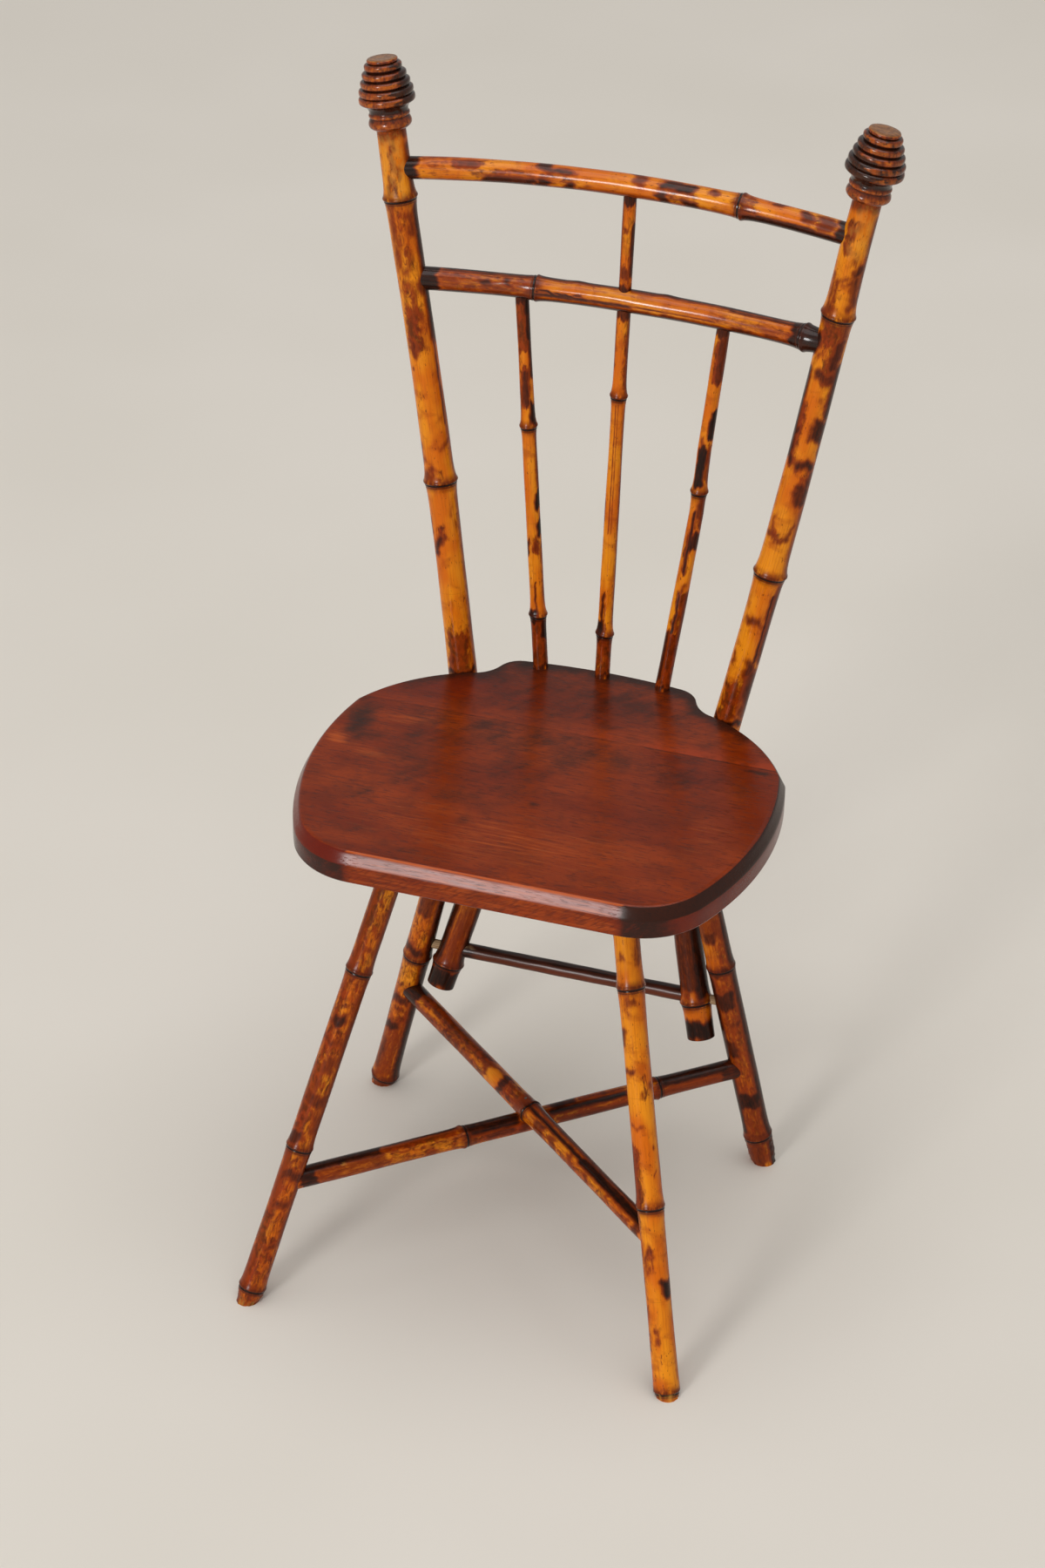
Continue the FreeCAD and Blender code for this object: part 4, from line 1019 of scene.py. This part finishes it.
def edge_inset(height, share):
    """How far the seat's edge stands back at a height: soft corners, and a chamfer where it has one."""
    back = share * CHAMFER_RUN * np.clip((height - CHAMFER_FOOT) / (SEAT_HEIGHT - CHAMFER_FOOT), 0, 1)
    low, high = max(0.0, SEAT_UNDER + 1.2 - height), max(0.0, height - (SEAT_HEIGHT - 1.5))
    return back + low * low / 1.5 + high * high / 2.2


SEAT_MARKS = [
    # middle across and back, half sizes, lean in degrees, dark, red, worn
    (-168, 190, 13, 34, 8, 0.80, 0, 0), (-150, 172, 14, 10, 40, 0.55, 0, 0), (-112, 170, 26, 50, -30, 0.42, 0, 0),
    (-40, 160, 50, 60, -30, 0.40, 0, 0), (5, 117, 5, 4, 0, 0.75, 0, 0), (-95, 130, 26, 18, 30, 0.45, 0, 0),
    # The wide dark patches at (-30, 205) and (0, 285) are stain and painted shade over the middle and rear.
    (-40, 78, 10, 10, 0, 0.45, 0, 0), (-30, 205, 110, 36, 0, 0.48, 0, 0), (0, 285, 130, 60, 0, 0.52, 0.4, 0),
    (110, 200, 50, 34, 0, 0.34, 0.4, 0), (-178, 158, 10, 14, 30, 0, 0, 0.6),
    (-150, 148, 24, 10, -10, 0, 0, 0.42), (-128, 205, 30, 9, 12, 0, 0, 0.4), (164, 221, 12, 2.6, 0, 0.95, 0, 0),
    (-110, 270, 34, 26, 30, 0.25, 0.6, 0), (0, 60, 150, 46, 0, 0, 0, 0.36), (-130, 84, 12, 14, 0, 0.45, 0, 0),
    (-112, 40, 22, 10, 20, 0.4, 0, 0), (90, 28, 34, 12, 0, 0.4, 0, 0), (-60, 24, 30, 7, 0, 0.36, 0, 0),
    (150, 110, 30, 40, 10, 0, 0, 0.3),
]


def seat_paint(x, y, z, share, rim):
    """Dark blotches of stain and painted shade, red stain and wear over the seat, painted shade along the rim of its
    rear, and wear with a painted highlight on the front chamfer.
    """
    out = np.zeros(3)
    for mx, my, half_x, half_y, lean, dark, red, worn in SEAT_MARKS:
        c, s = math.cos(math.radians(lean)), math.sin(math.radians(lean))
        u, v = ((x - mx) * c + (y - my) * s) / half_x, ((y - my) * c - (x - mx) * s) / half_y
        weight = math.exp(-(u * u + v * v) * 0.8)
        out = np.maximum(out, weight * np.array((dark, red, worn)))
    # Painted shade: darker along the rim towards the rear.
    out[0] += 0.55 * rim * float(ease(y, 230, 290))
    on_edge = share * float(1 - ease(z, SEAT_HEIGHT - 1.0, SEAT_HEIGHT - 0.2))
    on_chamfer = on_edge * float(ease(z, CHAMFER_FOOT - 0.6, CHAMFER_FOOT + 0.4))
    front = float(ease(FRONT_HALF + 6 - abs(x), 0, 12)) * float(ease(30 - y, 0, 8))
    on_face = on_edge - on_chamfer
    out = out * (1 - on_edge)
    # The pale tone on the front chamfer is wear and a painted highlight; the front face below is made paler as well.
    out[2] += on_chamfer * front * 0.28 + on_face * front * 0.36
    if x > 0:
        corner = float(ease(26 - y, 0, 18))
        out[0] += on_chamfer * (1 - front) * 1.15 + on_face * (1 - front) * corner * 0.85
        out[1] += on_face * (1 - front) * 0.6
    else:
        out[0] += on_face * (1 - front) * 0.75
        out[1] += on_edge * (1 - front) * 0.8
    if 0.1 < SEAT_HEIGHT - z < 0.9 and share * front > 0.5:
        out[2] = max(out[2], 0.9)
    return out


def seat_slab():
    """The whole seat as loops of its outline, from the underside's middle round to the top's middle."""
    half = seat_outline()
    loop = half + [(-x, y, share) for x, y, share in reversed(half[1:-1])]
    edge, share = np.array(loop)[:, :2], np.array(loop)[:, 2]
    tangent = unit(np.roll(edge, -1, axis=0) - np.roll(edge, 1, axis=0))
    inward = np.stack([-tangent[:, 1], tangent[:, 0]], axis=-1)
    levels = [(edge + (inward.T * edge_inset(h, share)).T, h, 1.0) for h in (SEAT_UNDER + v for v in EDGE_LEVELS)]
    under, top = levels[0][0] - SEAT_HEART, levels[-1][0] - SEAT_HEART
    levels = [(SEAT_HEART + under * t, SEAT_UNDER, 0.0) for t in UNDER_SHARES] + levels
    levels += [(SEAT_HEART + top * t, SEAT_HEIGHT, float(ease(t, 0.90, 0.99))) for t in TOP_SHARES]

    shape = tube(len(levels), len(loop))
    paint_layer = shape.verts.layers.float_color.new("paint")
    for vert in shape.verts:
        k = round(math.atan2(vert.co.y, vert.co.x) / (2 * math.pi) * len(loop)) % len(loop)
        place, height, rim = levels[round(vert.co.z * (len(levels) - 1))]
        vert.co = (*place[k], height)
        vert[paint_layer] = (*seat_paint(*place[k], height, share[k], rim), 1.0)
    close_ends(shape)
    return shape


def seat_board(name, keep_front):
    """One board of the seat, cut from the slab at the seam."""
    shape = seat_slab()
    geom = shape.verts[:] + shape.edges[:] + shape.faces[:]
    gap = -BOARD_GAP if keep_front else BOARD_GAP
    bmesh.ops.bisect_plane(shape, geom=geom, plane_co=(0, SEAM + gap, 0), plane_no=(0, 1, 0),
                           clear_inner=not keep_front, clear_outer=keep_front)
    bmesh.ops.remove_doubles(shape, verts=shape.verts, dist=MERGE)
    close_ends(shape)
    bmesh.ops.recalc_face_normals(shape, faces=shape.faces)
    return made(name, shape, SEAT_WOOD, crease=30)


seat_board("seat_front_board", True)
seat_board("seat_rear_board", False)


# Turned finials

# Radius and height of the turned parts; the roll and the bead give their crown's radius first
FINIAL_FOOT, NECK = (12.6, 0.0), (16.9, 19.2)
ROLL, BEAD = (17.9, 16.1, 11.2), (17.1, 16.0, 15.2)
CROWN, BAND_SHARES = 23.4, (1, 0.967, 0.882, 0.788, 0.668)
BANDS_FROM, BAND_PITCH = 23.0, 7.1
BUTTON, BUTTON_TOP = 12.8, ((7.0, 61.5), (2.5, 61.4))
WORN_FROM, FINIAL_RADIUS = 61.2, 20.0


def turned_band(low, high, crown, count=14, flat=3.4):
    """One turned band between two (radius, height) grooves: a crown with round shoulders."""
    rows = []
    for k in range(1, count + 1):
        share = k / count
        foot = low[0] + (high[0] - low[0]) * share
        rows.append((foot + (crown - foot) * (1 - abs(2 * share - 1) ** flat), low[1] + (high[1] - low[1]) * share))
    return rows


def finial_profile(size):
    """Radius and height up the finial: collar roll, bead, flared neck, stacked bands and a worn button."""
    rows = [FINIAL_FOOT]
    for (crown, radius, level), count, flat in ((ROLL, 14, 2.2), (BEAD, 8, 2.0)):
        rows += turned_band(rows[-1], (radius * size, level), crown * size, count, flat)
    crowns, button = [CROWN * size * share for share in BAND_SHARES], BUTTON * size
    rows += arc_points(rows[-1], (NECK[0] * size, NECK[1]), (crowns[0] - 2.4, BANDS_FROM), 1.0)
    level = BANDS_FROM
    for crown, above in zip(crowns, crowns[1:] + [button]):
        rows += turned_band(rows[-1], (above - 1.5, level + BAND_PITCH), crown)
        level += BAND_PITCH
    rows += [(button - 0.5, level + 0.1), (button, level + 0.6)]
    rows += [(button, 60.4), (button - 0.5, 61.3), (button - 1.6, 61.7), *BUTTON_TOP]
    return rows


def finial(name, stem, size, tall, inwards, seed):
    """One finial on its post: fitted in size and height, shifted inwards, with dark grooves and rubbed crowns."""
    profile = finial_profile(size)
    shape = tube(len(profile), sides=64)
    paint_layer = shape.verts.layers.float_color.new("paint")
    end = np.array([stem.length])
    foot, up, face = (stem.at(v, end)[0] for v in (stem.middle, stem.along, stem.face))
    foot, across = foot + np.array((*inwards, 0)), np.cross(up, face)
    radii = np.array([r for r, _ in profile])
    hull = np.array([radii[max(0, k - 5):k + 6].max() for k in range(len(radii))])
    for vert in shape.verts:
        k = round(vert.co.z * (len(profile) - 1))
        turn = math.atan2(vert.co.y, vert.co.x)
        radius, level = profile[k]
        radius *= 0.993 + 0.006 * math.sin(3 * turn + seed + level * 0.2)
        vert.co = Vector(foot + up * level * tall + radius * (math.cos(turn) * face + math.sin(turn) * across))
        deep = float(ease(hull[k] - radii[k], 0.9, 1.9)) if 8 < level < 59 else 0.0
        around = math.degrees(turn) + 14 * math.sin(level * 0.55 + seed) + 6 * math.sin(level * 1.7)
        dark = painted(np.array([level]), np.array([around]), FINIAL_RADIUS, MARKS[name], seed)[0][0]
        crown = 0.75 * max(0.0, 1 - (hull[k] - radii[k]) / 0.6)
        vert[paint_layer] = (dark, deep, 1.0 if level > WORN_FROM else crown, 1.0)
    close_ends(shape)
    bmesh.ops.recalc_face_normals(shape, faces=shape.faces)
    return made(name, shape, TURNED, crease=60)


finial("left_finial", stems["left_post"], size=0.985, tall=0.936, inwards=(0, 0), seed=1)
finial("right_finial", stems["right_post"], size=1.02, tall=0.95, inwards=(-0.75, -0.7), seed=2)


# The dark rod that ties the posts to the rear legs

TIE_RADIUS, TIE_TENON, TIE_STEP, TIE_SHORT = 6.6, 4.2, 1.6, 2.0


def post_tie():
    """The rod is thick between the posts, and its thin worn ends run on to the legs."""
    foot, tip = leg_at("rear", -1, TIE_HEIGHT), leg_at("rear", 1, TIE_HEIGHT)
    stem = Stem(straight(foot, tip), TIE_RADIUS)
    post = float(np.linalg.norm(tip - foot)) / 2 - TIE_TO_POST
    shape, s, turn = unrolled(rows_along(TIE_SHORT, stem.length - TIE_SHORT, (), TIE_STEP), sides=32)
    degrees = np.degrees(turn)
    inside = ease(np.abs(s - stem.length / 2), post + 2.0, post - 2.0)
    radius = TIE_TENON + (TIE_RADIUS - TIE_TENON) * inside
    radius += 0.10 * np.sin(s * 0.06) + 0.06 * np.sin(s * 0.19 + 2 * turn)
    scrape = 0.5 * mark_box(s, degrees, TIE_RADIUS, (36, 52, -50, 0), 6.0)
    wear = np.maximum(0.85 * (1 - inside), scrape)
    blush = 0.7 * mark_box(s, degrees, TIE_RADIUS, (50, 270, 8, 80), 8.0)
    lay(shape, stem, s, turn, radius, np.stack([np.zeros_like(s), blush, wear], axis=-1), 0)
    close_ends(shape)
    bmesh.ops.recalc_face_normals(shape, faces=shape.faces)
    return made("post_tie", shape, DARK_ROD)


post_tie()


# Nodes that keep their own shape

for name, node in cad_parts.items():
    if name.endswith(("plug", "dowel", "peg")):
        wood = HARDWOOD
    elif name in ("post_screws", "crossing_pin"):
        wood = STEEL
    else:
        wood = BAMBOO
    for slot in node.material_slots:
        slot.material = wood


# Floor, light and camera

def studio_floor():
    shape = bmesh.new()
    bmesh.ops.create_grid(shape, x_segments=8, y_segments=8, size=40.0)
    mesh = bpy.data.meshes.new("floor")
    shape.to_mesh(mesh)
    shape.free()
    material, wire = blank("pale_floor")
    place = wire.node("ShaderNodeTexCoord", {}, {}, "Object")
    soft = place.cloud(2.0, 2, 0.5)
    colour = soft.step(0.2, 0.8).blend(shown(214, 208, 198), shown(219, 213, 204))
    finish(colour, 0.75 + 0.05 * soft, specular=0.2)
    mesh.materials.append(material)
    floor = bpy.data.objects.new("floor", mesh)
    bpy.context.scene.collection.objects.link(floor)


def soft_light(name, place, aim, size, power, spread):
    lamp = bpy.data.lights.new(name, "AREA")
    lamp.shape, lamp.size, lamp.energy, lamp.spread = "DISK", size, power, math.radians(spread)
    holder = bpy.data.objects.new(name, lamp)
    holder.location = place
    holder.rotation_euler = (Vector(aim) - Vector(place)).to_track_quat("-Z", "Y").to_euler()
    holder.visible_camera = False
    bpy.context.scene.collection.objects.link(holder)


def studio():
    studio_floor()
    world = bpy.data.worlds.new("studio")
    world.use_nodes = True
    backdrop = world.node_tree.nodes["Background"]
    backdrop.inputs["Color"].default_value = (1.0, 0.985, 0.965, 1.0)
    backdrop.inputs["Strength"].default_value = 0.45
    bpy.context.scene.world = world
    soft_light("window", (-2.3, -7.9, 2.81), (0, 0, 0.5), size=2.2, power=42, spread=60)
    soft_light("ceiling", (0.4, -0.6, 9.0), (0, 0, 0), size=10.0, power=420, spread=180)
    bpy.context.scene.view_settings.view_transform = "Standard"


def photo_camera():
    yaw, pitch, roll = EYE_YAW, EYE_PITCH, EYE_ROLL
    ahead = np.array((-math.sin(yaw) * math.cos(pitch), math.cos(yaw) * math.cos(pitch), -math.sin(pitch)))
    right = np.array((math.cos(yaw), math.sin(yaw), 0.0))
    up = np.cross(right, ahead)
    right, up = math.cos(roll) * right + math.sin(roll) * up, math.cos(roll) * up - math.sin(roll) * right
    place = (EYE + np.array((0, SEAT_FRONT, 0))) * MM
    lens = bpy.data.cameras.new("photo_camera")
    lens.sensor_fit, lens.sensor_height, lens.sensor_width = "VERTICAL", 36.0, 24.0
    lens.lens = EYE_REACH / PHOTO_TALL * lens.sensor_height
    holder = bpy.data.objects.new("photo_camera", lens)
    holder.matrix_world = Matrix((
        (right[0], up[0], -ahead[0], place[0]),
        (right[1], up[1], -ahead[1], place[1]),
        (right[2], up[2], -ahead[2], place[2]),
        (0, 0, 0, 1)))
    bpy.context.scene.collection.objects.link(holder)
    bpy.context.scene.camera = holder


studio()
photo_camera()
